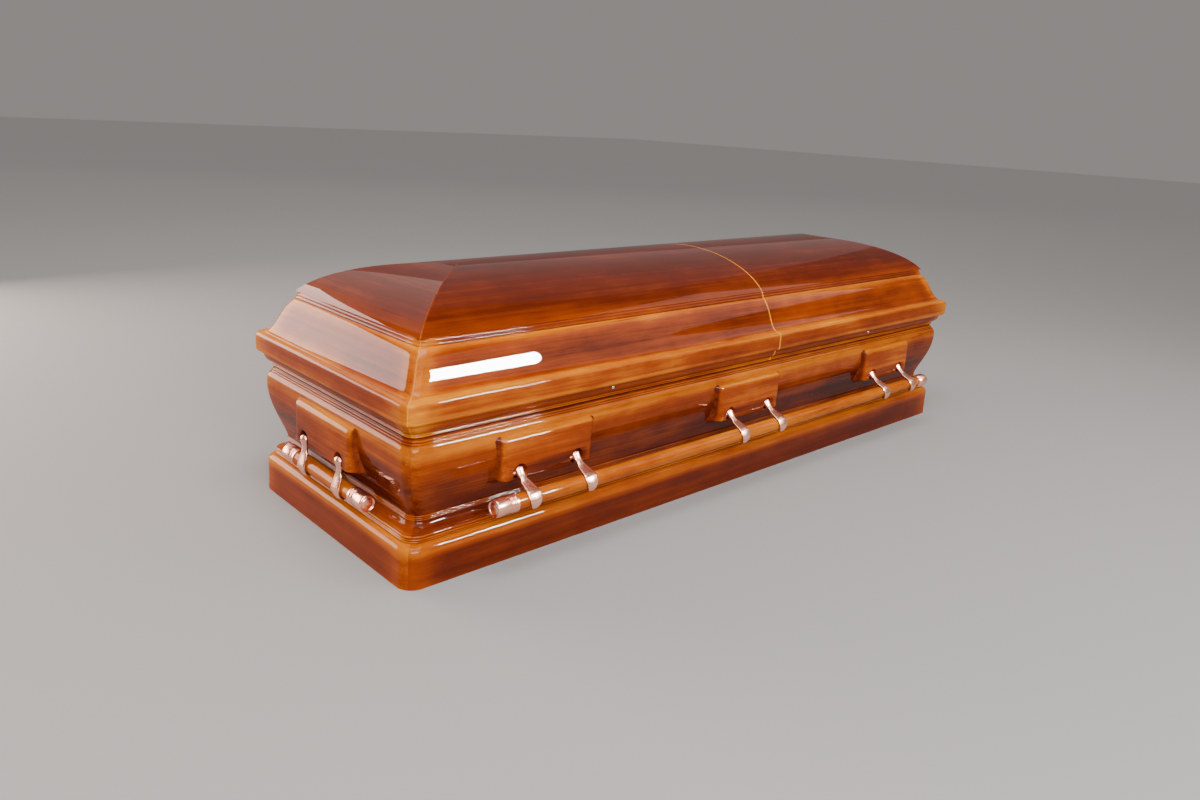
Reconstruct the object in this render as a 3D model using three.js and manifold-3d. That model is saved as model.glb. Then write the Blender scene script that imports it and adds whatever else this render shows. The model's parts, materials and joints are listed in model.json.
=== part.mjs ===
// A lacquered wooden coffin with an urn-shaped body, a hipped barrel lid in two hinged halves
// and swinging bar handles on all four sides.
// Units are millimetres, +Z is up, and the origin is on the floor under the middle of the base.
// +X runs from the foot end to the head end, and the front long side faces -Y.
import * as THREE from 'three';
import { mergeVertices } from 'three/addons/utils/BufferGeometryUtils.js';
import Module from 'manifold-3d';

// Overall plan, measured at the widest part, the rim of the lid
const RIM_LENGTH = 2130;
const RIM_WIDTH = 700;
const FIT_GAP = 0.3;

// Base frame: four plinth rails with a rounded top edge. An inset is measured in from the rim.
const BASE_HEIGHT = 91;
const BASE_INSET = 16;
const BASE_EDGE_DEPTH = 15;
const BASE_EDGE_HEIGHT = 16;
const BASE_THICKNESS = 34;
const BASE_CORNER_RADIUS = 38;

// Bottom board, lying on the base frame, with the walls standing on it
const BOARD_THICKNESS = 9.7;

// Walls: a cove up to the waist, an ogee out to the belly and a rounded shoulder
const WALL_HEIGHT = 210.7;
const WALL_THICKNESS = 22;
const WALL_CORNER_RADIUS = 32;
const WAIST_RISE = 30;
const WAIST_INSET = 53;
const BELLY_RISE = 174;
const BELLY_INSET = 17;
const SHOULDER_INSET = 30;
const INNER_CORNER_RADIUS = 4;

// Lid rim: a pad that lies on the walls, an ovolo, the upright rim and an ogee up to the neck
const PARTING_GROOVE = 2.7;
const PAD_INSET = 36;
const LIP_INSET = 29;
const OVOLO_INSET = 13.5;
const OVOLO_HEIGHT = 31;
const STEP_HEIGHT = 12;
const UPRIGHT_HEIGHT = 30;
const SHELF_HEIGHT = 10;
const SHELF_DEPTH = 14;
const NECK_RISE = 85;
const NECK_INSET = 70;
const BEAD_HEIGHT = 15;
const BEAD_DEPTH = 6;
const LID_THICKNESS = 20;
const RIM_CORNER_RADIUS = 26;

// Crown: a barrel with a hip at each end, on the neck of the rim
const CROWN_HEIGHT = 89.7;
const CROWN_THICKNESS = 17;

// The lid is parted across, nearer the head end
const SPLIT_X = 105;
const SPLIT_GAP = 1.5;

// Handle blocks, fixed on the belly of the walls
const BLOCK_WIDTH = 252;
const BLOCK_DROP = 28;
const BLOCK_HEIGHT = 96;
const BLOCK_FACE_INSET = 2;
const BLOCK_ROUNDING = 14;
const BLOCK_UNDERCUT = 12;
const BLOCK_FLARE = 18;
const OUTER_BLOCK_INSET = 363;

// Sockets in the blocks, open below, where the arms swing
const PIVOT_INSET = 11;
const PIVOT_BELOW_PARTING = 114.5;
const SOCKET_RADIUS = 18.5;
const SOCKET_LIFT = 3;
const SOCKET_DEPTH = 25;
const ARM_SPACING = 160;

// Arms: a broad ball at the pivot, a neck and a hook round the outside of the bar
const ARM_REACH = 61;
const BALL_RADIUS = 11;
const BALL_HALF_WIDTH = 12;
const BALL_OFFSET = 6;
const BALL_LIFT = 4;
const NECK_HALF_WIDTH = 9;
const NECK_THICKNESS = 11;
const SHOULDER_OFFSET = 12;
const SHOULDER_THICKNESS = 8.5;
const HOOK_HALF_WIDTH = 17;
const HOOK_THICKNESS = 7;
const BEAK_THICKNESS = 11;
const LIP_THICKNESS = 2.8;
const TRUNNION_RADIUS = 4;
const TRUNNION_CLEARANCE = 3;
const SIDE_SWING = 46.5;
const END_SWING = -4;

// Bars of turned wood with a ribbed cap on each end
const BAR_RADIUS = 17;
const SIDE_BAR_OVERHANG = 97;
const END_BAR_OVERHANG = 104;
const CAP_LENGTH = 56;
const CAP_WALL = 3.4;
const CAP_END_THICKNESS = 6;
const CAP_COLLAR = 15;

// Strip hinge in the parting groove at the back
const HINGE_RADIUS = 4;
const HINGE_INSET = 21;
const LEAF_THICKNESS = 1;
const LEAF_GAP = 0.4;
const HINGE_END_INSET = 90;
const FOOT_KNUCKLES = 5;
const HEAD_KNUCKLES = 3;

// Catches: a small bright button near the middle of each half of the lid, at the front
const CATCH_RADIUS = 4;
const CATCH_DEPTH = 2.5;
const CATCH_DROP = 4;
const FOOT_CATCH_X = -513;
const HEAD_CATCH_X = 581;

// Levels worked out from the sizes above
const BOARD_Z = BASE_HEIGHT + FIT_GAP;
const WALL_Z = BOARD_Z + BOARD_THICKNESS + FIT_GAP;
const PARTING_Z = WALL_Z + WALL_HEIGHT;
const LID_Z = PARTING_Z + FIT_GAP;
const LIP_Z = LID_Z + PARTING_GROOVE;
const OVOLO_Z = LIP_Z + OVOLO_HEIGHT;
const UPRIGHT_Z = OVOLO_Z + STEP_HEIGHT;
const SHELF_Z = UPRIGHT_Z + UPRIGHT_HEIGHT + SHELF_HEIGHT;
const NECK_Z = SHELF_Z + NECK_RISE;
const RIM_TOP_Z = NECK_Z + BEAD_HEIGHT;
const CROWN_Z = RIM_TOP_Z + FIT_GAP;
const PIVOT_Z = PARTING_Z - PIVOT_BELOW_PARTING;
const BAR_SIDES = 12;
const KNUCKLE_SIDES = 8;
const CORNER_ANGLES = [0, Math.PI / 8, Math.PI / 4];
const MITRE_SHIFT = FIT_GAP / Math.SQRT2;

const wasm = await Module();
wasm.setup();

const coffin = new THREE.Group();
coffin.name = 'coffin';

function finish(color, roughness, metalness) {
  return () => new THREE.MeshStandardMaterial({ color, roughness, metalness });
}

const paleWood = finish(0xc0661c, 0.12, 0);
const redWood = finish(0x8a2f10, 0.1, 0);
const copper = finish(0xe3a184, 0.2, 1);
const brass = finish(0xc9a352, 0.35, 1);
const chrome = finish(0xd8d8d8, 0.12, 1);

function addPiece(name, geometry, material) {
  const mesh = new THREE.Mesh(geometry, material());
  mesh.name = name;
  coffin.add(mesh);
}

// Makes a closed body from corners and faces: corners that coincide become one, faces that
// lose their area go, and all faces are turned outwards.
function closedBody(corners, faces) {
  const places = new Map();
  const kept = [];
  const numbers = corners.map((corner) => {
    const key = corner.toArray().map((value) => Math.round(value * 1e4)).join();
    if (!places.has(key)) {
      places.set(key, kept.length);
      kept.push(corner);
    }
    return places.get(key);
  });
  const triangles = faces
    .map((face) => face.map((index) => numbers[index]))
    .filter(([a, b, c]) => a !== b && b !== c && c !== a);
  const volume = triangles.reduce((sum, [a, b, c]) => {
    return sum + kept[a].dot(new THREE.Vector3().crossVectors(kept[b], kept[c]));
  }, 0);
  const outward = volume > 0 ? triangles : triangles.map(([a, b, c]) => [a, c, b]);
  const geometry = new THREE.BufferGeometry().setFromPoints(kept);
  geometry.setIndex(outward.flat());
  geometry.computeVertexNormals();
  return geometry;
}

// Joins closed loops of corners into one skin and closes both ends. The flat outlines give
// each end's shape in its own plane, and an end that is folded is closed in flat parts.
function loft(loops, startOutline, endOutline, parts = [startOutline.map((_, i) => i)]) {
  const count = loops[0].length;
  const faces = [];
  for (let row = 0; row < loops.length - 1; row += 1) {
    for (let i = 0; i < count; i += 1) {
      const next = (i + 1) % count;
      const a = row * count + i;
      const b = row * count + next;
      faces.push([a, b, b + count], [a, b + count, a + count]);
    }
  }
  const last = (loops.length - 1) * count;
  for (const part of parts) {
    faces.push(...capFaces(startOutline, part, true));
    faces.push(...capFaces(endOutline, part, false).map((face) => face.map((i) => i + last)));
  }
  return closedBody(loops.flat(), faces);
}

function capFaces(outline, part, reversed) {
  const corners = part.map((index) => outline[index]);
  const turn = Math.sign(THREE.ShapeUtils.area(corners)) * (reversed ? -1 : 1);
  return THREE.ShapeUtils.triangulateShape(corners, []).map(([a, b, c]) => {
    const area = THREE.ShapeUtils.area([corners[a], corners[b], corners[c]]);
    return (Math.sign(area) === turn ? [a, b, c] : [a, c, b]).map((i) => part[i]);
  });
}

// Booleans
function toSolid(geometry) {
  return new wasm.Manifold(new wasm.Mesh({
    numProp: 3,
    vertProperties: new Float32Array(geometry.attributes.position.array),
    triVerts: new Uint32Array(geometry.index.array),
  }));
}

function fromSolid(solid) {
  const { vertProperties, triVerts } = solid.getMesh();
  const geometry = new THREE.BufferGeometry();
  geometry.setAttribute('position', new THREE.BufferAttribute(vertProperties, 3));
  geometry.setIndex(new THREE.BufferAttribute(triVerts, 1));
  geometry.computeVertexNormals();
  return geometry;
}

function merged(geometry) {
  geometry.deleteAttribute('normal');
  geometry.deleteAttribute('uv');
  return mergeVertices(geometry);
}

// Profiles. A point is an inset from the rim, a height and the plan radius of its corners.
function point(inset, z, radius) {
  return { inset, z, radius };
}

// A smooth stretch between two points. Each handle is a share of the step between them.
function bend(from, to, firstHandle, secondHandle, steps) {
  const stepIn = to.inset - from.inset;
  const stepUp = to.z - from.z;
  const curve = new THREE.CubicBezierCurve(
    new THREE.Vector2(from.inset, from.z),
    new THREE.Vector2(from.inset + firstHandle[0] * stepIn, from.z + firstHandle[1] * stepUp),
    new THREE.Vector2(from.inset + secondHandle[0] * stepIn, from.z + secondHandle[1] * stepUp),
    new THREE.Vector2(to.inset, to.z),
  );
  return curve.getPoints(steps).map((p) => point(p.x, p.y, from.radius));
}

// The four sides: the direction along each and the direction out of it
const SIDES = {
  front: { along: [1, 0], out: [0, -1], halfAlong: RIM_LENGTH / 2, halfOut: RIM_WIDTH / 2 },
  back: { along: [1, 0], out: [0, 1], halfAlong: RIM_LENGTH / 2, halfOut: RIM_WIDTH / 2 },
  foot: { along: [0, 1], out: [-1, 0], halfAlong: RIM_WIDTH / 2, halfOut: RIM_LENGTH / 2 },
  head: { along: [0, 1], out: [1, 0], halfAlong: RIM_WIDTH / 2, halfOut: RIM_LENGTH / 2 },
};

function place(side, along, out, z) {
  return new THREE.Vector3(
    side.along[0] * along + side.out[0] * out,
    side.along[1] * along + side.out[1] * out,
    z,
  );
}

// Where a profile point lies at an angle round the corner, from 0 on the side to the mitre
function cornerSpot(side, p, angle, end) {
  const reach = side.halfAlong - p.inset - p.radius + p.radius * Math.sin(angle);
  const shift = angle === Math.PI / 4 ? MITRE_SHIFT : 0;
  const out = side.halfOut - p.inset - p.radius + p.radius * Math.cos(angle);
  return { along: end * (reach - shift), out };
}

// A moulding along one side. It ends in a mitre at a corner or square at a given place.
function moulding(profile, side, startCut, endCut, angles = CORNER_ANGLES) {
  const stations = [];
  if (startCut === null) {
    stations.push(...angles.toReversed().map((angle) => (p) => cornerSpot(side, p, angle, -1)));
  } else {
    stations.push((p) => ({ along: startCut, out: side.halfOut - p.inset }));
  }
  if (endCut === null) {
    stations.push(...angles.map((angle) => (p) => cornerSpot(side, p, angle, 1)));
  } else {
    stations.push((p) => ({ along: endCut, out: side.halfOut - p.inset }));
  }
  const spots = stations.map((station) => profile.map((p) => ({ ...station(p), z: p.z })));
  const loops = spots.map((row) => row.map((s) => place(side, s.along, s.out, s.z)));
  const outlines = spots.map((row) => row.map((s) => new THREE.Vector2(s.out, s.z)));
  return loft(loops, outlines[0], outlines.at(-1));
}

// Base frame
const BASE_TOP_INSET = BASE_INSET + BASE_EDGE_DEPTH;
const baseProfile = [
  point(BASE_INSET, 0, BASE_CORNER_RADIUS),
  ...bend(
    point(BASE_INSET, BASE_HEIGHT - BASE_EDGE_HEIGHT, BASE_CORNER_RADIUS),
    point(BASE_TOP_INSET, BASE_HEIGHT, BASE_CORNER_RADIUS),
    [0, 0.55], [0.45, 1], 3,
  ),
  point(BASE_INSET + BASE_THICKNESS, BASE_HEIGHT, INNER_CORNER_RADIUS),
  point(BASE_INSET + BASE_THICKNESS, 0, INNER_CORNER_RADIUS),
];
for (const [name, side] of Object.entries(SIDES)) {
  addPiece(`${name}_base_rail`, moulding(baseProfile, side, null, null), paleWood);
}

// Bottom board, with the corners of the walls that stand on it
function bottomBoard() {
  const halfLength = RIM_LENGTH / 2 - BASE_TOP_INSET;
  const halfWidth = RIM_WIDTH / 2 - BASE_TOP_INSET;
  const outline = [];
  for (const [sx, sy] of [[1, 1], [-1, 1], [-1, -1], [1, -1]]) {
    const quarter = CORNER_ANGLES.concat([Math.PI * 3 / 8, Math.PI / 2]);
    const turned = sx * sy > 0 ? quarter : quarter.toReversed();
    outline.push(...turned.map((angle) => new THREE.Vector2(
      sx * (halfLength - WALL_CORNER_RADIUS * (1 - Math.cos(angle))),
      sy * (halfWidth - WALL_CORNER_RADIUS * (1 - Math.sin(angle))),
    )));
  }
  const loops = [BOARD_Z, BOARD_Z + BOARD_THICKNESS].map((z) => {
    return outline.map((corner) => new THREE.Vector3(corner.x, corner.y, z));
  });
  return loft(loops, outline, outline);
}
addPiece('bottom_board', bottomBoard(), paleWood);

// Walls
const WAIST_Z = WALL_Z + WAIST_RISE;
const BELLY_Z = WALL_Z + BELLY_RISE;
const wallFace = [
  ...bend(
    point(BASE_TOP_INSET, WALL_Z, WALL_CORNER_RADIUS),
    point(WAIST_INSET, WAIST_Z, WALL_CORNER_RADIUS),
    [0.45, 0.23], [1, 0.6], 3,
  ),
  ...bend(
    point(WAIST_INSET, WAIST_Z, WALL_CORNER_RADIUS),
    point(BELLY_INSET, BELLY_Z, WALL_CORNER_RADIUS),
    [0, 0.2], [1, 0.55], 6,
  ).slice(1),
  ...bend(
    point(BELLY_INSET, BELLY_Z, WALL_CORNER_RADIUS),
    point(SHOULDER_INSET, PARTING_Z, WALL_CORNER_RADIUS),
    [0, 0.6], [0.35, 0.85], 3,
  ).slice(1),
];
const innerWaist = point(WAIST_INSET + WALL_THICKNESS, WAIST_Z, INNER_CORNER_RADIUS);
const innerBelly = point(BELLY_INSET + WALL_THICKNESS, BELLY_Z, INNER_CORNER_RADIUS);
const wallProfile = [
  ...wallFace,
  point(SHOULDER_INSET + WALL_THICKNESS, PARTING_Z, INNER_CORNER_RADIUS),
  ...bend(innerBelly, innerWaist, [0, 0.45], [1, 0.8], 3),
  point(WAIST_INSET + WALL_THICKNESS, WALL_Z, INNER_CORNER_RADIUS),
];
for (const [name, side] of Object.entries(SIDES)) {
  addPiece(`${name}_wall`, moulding(wallProfile, side, null, null), redWood);
}

// The inset of the wall's face at a height
function wallInset(z) {
  const above = wallFace.findIndex((p) => p.z >= z);
  const low = wallFace[above - 1];
  const high = wallFace[above];
  return THREE.MathUtils.mapLinear(z, low.z, high.z, low.inset, high.inset);
}

// Handle blocks
const BLOCK_TOP_Z = PARTING_Z - BLOCK_DROP;
const BLOCK_FACE_Z = BLOCK_TOP_Z - BLOCK_HEIGHT;
const BLOCK_LOW_Z = BLOCK_FACE_Z - BLOCK_UNDERCUT;

function blockSection() {
  const top = point(wallInset(BLOCK_TOP_Z) - FIT_GAP, BLOCK_TOP_Z, 0);
  const edge = point(BLOCK_FACE_INSET, BLOCK_TOP_Z - BLOCK_ROUNDING, 0);
  const low = point(wallInset(BLOCK_LOW_Z) - FIT_GAP, BLOCK_LOW_Z, 0);
  const backed = wallFace.filter((p) => p.z > BLOCK_LOW_Z && p.z < BLOCK_TOP_Z);
  return [
    ...bend(top, edge, [0.55, 0], [1, 0.45], 4),
    point(BLOCK_FACE_INSET, BLOCK_FACE_Z, 0),
    low,
    ...backed.map((p) => point(p.inset - FIT_GAP, p.z, 0)),
  ];
}

// The returns of a block flare out to the wall near its foot
function blockHalfWidth(p) {
  const depth = (p.inset - BLOCK_FACE_INSET) / (wallInset(BLOCK_LOW_Z) - BLOCK_FACE_INSET);
  const lowness = (BLOCK_TOP_Z - p.z) / (BLOCK_TOP_Z - BLOCK_LOW_Z);
  return BLOCK_WIDTH / 2 + BLOCK_FLARE * depth * lowness;
}

function handleBlock(side, centre) {
  const section = blockSection();
  const loops = [-1, 1].map((end) => section.map((p) => {
    return place(side, centre + end * blockHalfWidth(p), side.halfOut - p.inset, p.z);
  }));
  const outline = section.map((p) => new THREE.Vector2(-p.inset, p.z));
  let block = toSolid(loft(loops, outline, outline));
  const socketLength = 2 * SOCKET_DEPTH;
  for (const armShift of [-ARM_SPACING / 2, ARM_SPACING / 2]) {
    const socket = new THREE.CylinderGeometry(SOCKET_RADIUS, SOCKET_RADIUS, socketLength, BAR_SIDES);
    socket.rotateY(Math.PI / BAR_SIDES);
    if (side.out[0] !== 0) {
      socket.rotateZ(Math.PI / 2);
    }
    const mouth = side.halfOut - BLOCK_FACE_INSET;
    const middle = place(side, centre + armShift, mouth, PIVOT_Z + SOCKET_LIFT);
    socket.translate(middle.x, middle.y, middle.z);
    block = block.subtract(toSolid(merged(socket)));
  }
  return fromSolid(block);
}

const outerBlock = RIM_LENGTH / 2 - OUTER_BLOCK_INSET;
const SIDE_BLOCKS = { foot: -outerBlock, middle: 0, head: outerBlock };
for (const name of ['front', 'back']) {
  for (const [where, centre] of Object.entries(SIDE_BLOCKS)) {
    addPiece(`${name}_${where}_block`, handleBlock(SIDES[name], centre), redWood);
  }
}
for (const name of ['foot', 'head']) {
  addPiece(`${name}_end_block`, handleBlock(SIDES[name], 0), redWood);
}

// Arms. The path runs from the top of the ball down the neck and round the bar. It lies in a
// plane across the bar, as a distance towards the bar's axis and one outwards from it. Each
// ring of the hook has a thickness and a share of the hook's full width.
const HOOK_START = Math.PI / 3;
const HOOK_STEP = Math.PI * 5 / 24;
const HOOK_RADIUS = (BAR_RADIUS + FIT_GAP) / Math.cos(HOOK_STEP / 2);
const BALL_LEVELS = [-0.94, -0.4, 0.45];
const HOOK_FORM = [
  [HOOK_THICKNESS, 0.97],
  [HOOK_THICKNESS, 1],
  [HOOK_THICKNESS * 1.3, 0.94],
  [BEAK_THICKNESS, 0.82],
  [LIP_THICKNESS, 0.62],
];

function ring(reach, out, direction, halfThickness, halfWidth) {
  return { reach, out, direction, halfThickness, halfWidth };
}

function hookRing(angle, thickness, halfWidth) {
  const radius = HOOK_RADIUS + thickness / 2;
  const reach = ARM_REACH - radius * Math.cos(angle);
  return ring(reach, radius * Math.sin(angle), Math.PI / 2 - angle, thickness / 2, halfWidth);
}

function armRings() {
  const ball = BALL_LEVELS.map((level) => {
    const share = Math.sqrt(1 - level * level);
    const reach = level * BALL_RADIUS - BALL_LIFT;
    return ring(reach, BALL_OFFSET, 0, share * BALL_RADIUS, share * BALL_HALF_WIDTH);
  });
  const shoulderReach = ARM_REACH - HOOK_RADIUS - HOOK_THICKNESS;
  const shoulderHalfWidth = (NECK_HALF_WIDTH + HOOK_HALF_WIDTH) / 2;
  const neck = [
    ring(BALL_RADIUS + 2, BALL_OFFSET + 1, 0.1, NECK_THICKNESS / 2, NECK_HALF_WIDTH),
    ring(shoulderReach, SHOULDER_OFFSET, 0.4, SHOULDER_THICKNESS / 2, shoulderHalfWidth),
  ];
  const hook = HOOK_FORM.map(([thickness, widthShare], i) => {
    return hookRing(HOOK_START + i * HOOK_STEP, thickness, HOOK_HALF_WIDTH * widthShare);
  });
  return [...ball, ...neck, ...hook];
}

// A ring is an eight-sided section with flat faces against the bar and away from it
function ringCorners(r) {
  const flat = 0.62;
  const quarter = [[1, flat], [flat, 1]];
  const half = [...quarter, ...quarter.map(([across, thick]) => [-thick, across])];
  const corners = [...half, ...half.map(([across, thick]) => [-across, -thick])];
  return corners.map(([across, thick]) => {
    return new THREE.Vector2(across * r.halfWidth, thick * r.halfThickness);
  });
}

// Swings a place in the arm's plane about the pivot and puts it in the coffin
function armPlace(side, along, reach, out, swing) {
  const outward = reach * Math.sin(swing) + out * Math.cos(swing);
  const down = reach * Math.cos(swing) - out * Math.sin(swing);
  return place(side, along, side.halfOut - PIVOT_INSET + outward, PIVOT_Z - down);
}

function arm(side, along, swing) {
  const rings = armRings();
  const loops = rings.map((r) => ringCorners(r).map((corner) => {
    const reach = r.reach - corner.y * Math.sin(r.direction);
    const out = r.out + corner.y * Math.cos(r.direction);
    return armPlace(side, along + corner.x, reach, out, swing);
  }));
  const body = toSolid(loft(loops, ringCorners(rings[0]), ringCorners(rings.at(-1))));
  const trunnionLength = 2 * (SOCKET_RADIUS - TRUNNION_CLEARANCE);
  const trunnion = new THREE.CylinderGeometry(TRUNNION_RADIUS, TRUNNION_RADIUS, trunnionLength, 6);
  if (side.along[0] !== 0) {
    trunnion.rotateZ(Math.PI / 2);
  }
  const pivot = armPlace(side, along, 0, 0, swing);
  trunnion.translate(pivot.x, pivot.y, pivot.z);
  return fromSolid(body.add(toSolid(merged(trunnion))));
}

// Bars and their caps
function alongSide(side, geometry, swing, along) {
  if (side.along[0] !== 0) {
    geometry.rotateZ(-Math.PI / 2);
  }
  const centre = armPlace(side, along, ARM_REACH, 0, swing);
  return merged(geometry.translate(centre.x, centre.y, centre.z));
}

function bar(side, length, swing) {
  const wood = length - 2 * (CAP_END_THICKNESS + FIT_GAP);
  const geometry = new THREE.CylinderGeometry(BAR_RADIUS, BAR_RADIUS, wood, BAR_SIDES);
  return alongSide(side, geometry, swing, 0);
}

function cap(side, length, swing, end) {
  const bore = (BAR_RADIUS + FIT_GAP) / Math.cos(Math.PI / BAR_SIDES);
  const outer = BAR_RADIUS + CAP_WALL;
  const collar = outer - CAP_WALL / 4;
  const profile = [
    [0, CAP_LENGTH],
    [outer * 0.85, CAP_LENGTH],
    [outer, CAP_LENGTH - CAP_END_THICKNESS],
    [outer, CAP_COLLAR + 1],
    [collar, CAP_COLLAR],
    [collar, 0],
    [bore, 0],
    [bore, CAP_LENGTH - CAP_END_THICKNESS],
    [0, CAP_LENGTH - CAP_END_THICKNESS],
  ];
  const points = profile.map(([radius, height]) => new THREE.Vector2(radius, height));
  const geometry = new THREE.LatheGeometry(points.toReversed(), BAR_SIDES);
  geometry.rotateY(Math.PI / BAR_SIDES);
  if (end < 0) {
    geometry.rotateX(Math.PI);
  }
  return alongSide(side, geometry, swing, end * (length / 2 - CAP_LENGTH));
}

// A bar runs past the outermost arm at each end by its overhang
function handle(name, centres, overhang, swing, ends) {
  const side = SIDES[name];
  const barLength = 2 * (Math.max(...centres) + ARM_SPACING / 2 + overhang);
  addPiece(`${name}_bar`, bar(side, barLength, swing), paleWood);
  addPiece(`${name}_bar_${ends[0]}_cap`, cap(side, barLength, swing, -1), copper);
  addPiece(`${name}_bar_${ends[1]}_cap`, cap(side, barLength, swing, 1), copper);
  const places = centres.flatMap((centre) => [centre - ARM_SPACING / 2, centre + ARM_SPACING / 2]);
  places.forEach((along, i) => {
    addPiece(`${name}_arm_${i + 1}`, arm(side, along, swing), copper);
  });
}

const sideSwing = THREE.MathUtils.degToRad(SIDE_SWING);
const endSwing = THREE.MathUtils.degToRad(END_SWING);
handle('front', Object.values(SIDE_BLOCKS), SIDE_BAR_OVERHANG, sideSwing, ['foot', 'head']);
handle('back', Object.values(SIDE_BLOCKS), SIDE_BAR_OVERHANG, sideSwing, ['foot', 'head']);
handle('foot', [0], END_BAR_OVERHANG, endSwing, ['front', 'back']);
handle('head', [0], END_BAR_OVERHANG, endSwing, ['front', 'back']);

// Rim of the lid
const CROWN_FOOT_INSET = NECK_INSET + BEAD_DEPTH;
const shelf = point(SHELF_DEPTH, SHELF_Z, RIM_CORNER_RADIUS);
const neckFoot = point(NECK_INSET, NECK_Z, RIM_CORNER_RADIUS);
const innerShelf = point(LID_THICKNESS, SHELF_Z - SHELF_HEIGHT - 4, INNER_CORNER_RADIUS);
const innerNeck = point(NECK_INSET + LID_THICKNESS, NECK_Z, INNER_CORNER_RADIUS);
const rimProfile = [
  ...bend(
    point(LIP_INSET, LIP_Z, RIM_CORNER_RADIUS),
    point(OVOLO_INSET, OVOLO_Z, RIM_CORNER_RADIUS),
    [0.6, 0.15], [1, 0.5], 3,
  ),
  ...bend(
    point(OVOLO_INSET, OVOLO_Z, RIM_CORNER_RADIUS),
    point(0, UPRIGHT_Z, RIM_CORNER_RADIUS),
    [0.6, 0.15], [1, 0.4], 3,
  ).slice(1),
  ...bend(
    point(0, UPRIGHT_Z + UPRIGHT_HEIGHT, RIM_CORNER_RADIUS),
    shelf,
    [0, 0.7], [0.4, 0.9], 3,
  ),
  ...bend(shelf, neckFoot, [0.43, 0.1], [0.46, 0.67], 6).slice(1),
  point(CROWN_FOOT_INSET, RIM_TOP_Z, RIM_CORNER_RADIUS),
  point(CROWN_FOOT_INSET + CROWN_THICKNESS, RIM_TOP_Z, INNER_CORNER_RADIUS),
  ...bend(innerNeck, innerShelf, [0.54, 0.33], [0.57, 0.9], 3),
  point(LID_THICKNESS, UPRIGHT_Z, INNER_CORNER_RADIUS),
  point(SHOULDER_INSET + WALL_THICKNESS, LIP_Z + OVOLO_HEIGHT / 3, INNER_CORNER_RADIUS),
  point(SHOULDER_INSET + WALL_THICKNESS, LID_Z, INNER_CORNER_RADIUS),
  point(PAD_INSET, LID_Z, RIM_CORNER_RADIUS),
  point(PAD_INSET, LIP_Z, RIM_CORNER_RADIUS),
];

// Crown: one curve from the foot to the ridge, the same over the sides and over the ends
const RIDGE_Z = CROWN_Z + CROWN_HEIGHT;
const crownFace = bend(
  point(CROWN_FOOT_INSET, CROWN_Z, 0),
  point(RIM_WIDTH / 2, RIDGE_Z, 0),
  [0.124, 0.52], [0.52, 1], 10,
);
const crownSoffit = bend(
  point(CROWN_FOOT_INSET + CROWN_THICKNESS, CROWN_Z, 0),
  point(RIM_WIDTH / 2, RIDGE_Z - CROWN_THICKNESS, 0),
  [0.124, 0.42], [0.52, 1], 6,
);

function barrel(footSide, splitX) {
  const overRidge = (curve) => [
    ...curve.map((p) => ({ inset: p.inset, z: p.z, y: p.inset - RIM_WIDTH / 2 })),
    ...curve.slice(0, -1).toReversed().map((p) => {
      return { inset: p.inset, z: p.z, y: RIM_WIDTH / 2 - p.inset };
    }),
  ];
  const section = [...overRidge(crownFace), ...overRidge(crownSoffit).toReversed()];
  const hip = section.map((p) => {
    const x = footSide * (RIM_LENGTH / 2 - p.inset - MITRE_SHIFT);
    return new THREE.Vector3(x, p.y, p.z);
  });
  const split = section.map((p) => new THREE.Vector3(splitX, p.y, p.z));
  const outline = section.map((p) => new THREE.Vector2(p.y, p.z));
  const numbers = section.map((_, i) => i);
  const halves = [
    numbers.filter((i) => section[i].y <= 0),
    numbers.filter((i) => section[i].y >= 0),
  ];
  return loft([hip, split], outline, outline, halves);
}

// The hip is the same moulding as a rim, with sharp corners, and comes to a point at the ridge
function hip(side) {
  const ridgeInset = RIM_WIDTH / 2 - MITRE_SHIFT;
  const cutBack = (p) => point(Math.min(p.inset, ridgeInset), p.z, 0);
  const profile = [...crownFace.map(cutBack), ...crownSoffit.toReversed().map(cutBack)];
  return moulding(profile, side, null, null, [Math.PI / 4]);
}

const LIDS = {
  foot: { end: -1, cut: SPLIT_X - SPLIT_GAP / 2 },
  head: { end: 1, cut: SPLIT_X + SPLIT_GAP / 2 },
};
for (const [name, lid] of Object.entries(LIDS)) {
  const cuts = lid.end < 0 ? [null, lid.cut] : [lid.cut, null];
  addPiece(`${name}_lid_front_rim`, moulding(rimProfile, SIDES.front, ...cuts), paleWood);
  addPiece(`${name}_lid_back_rim`, moulding(rimProfile, SIDES.back, ...cuts), paleWood);
  addPiece(`${name}_lid_end_rim`, moulding(rimProfile, SIDES[name], null, null), paleWood);
  addPiece(`${name}_lid_crown`, barrel(lid.end, lid.cut), redWood);
  addPiece(`${name}_lid_hip`, hip(SIDES[name]), redWood);
}

// Strip hinge. Each knuckle belongs in turn to the leaf on the body and to the one on the lid.
const HINGE_Y = RIM_WIDTH / 2 - HINGE_INSET;
const HINGE_Z = LID_Z + FIT_GAP + LEAF_THICKNESS;

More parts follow.
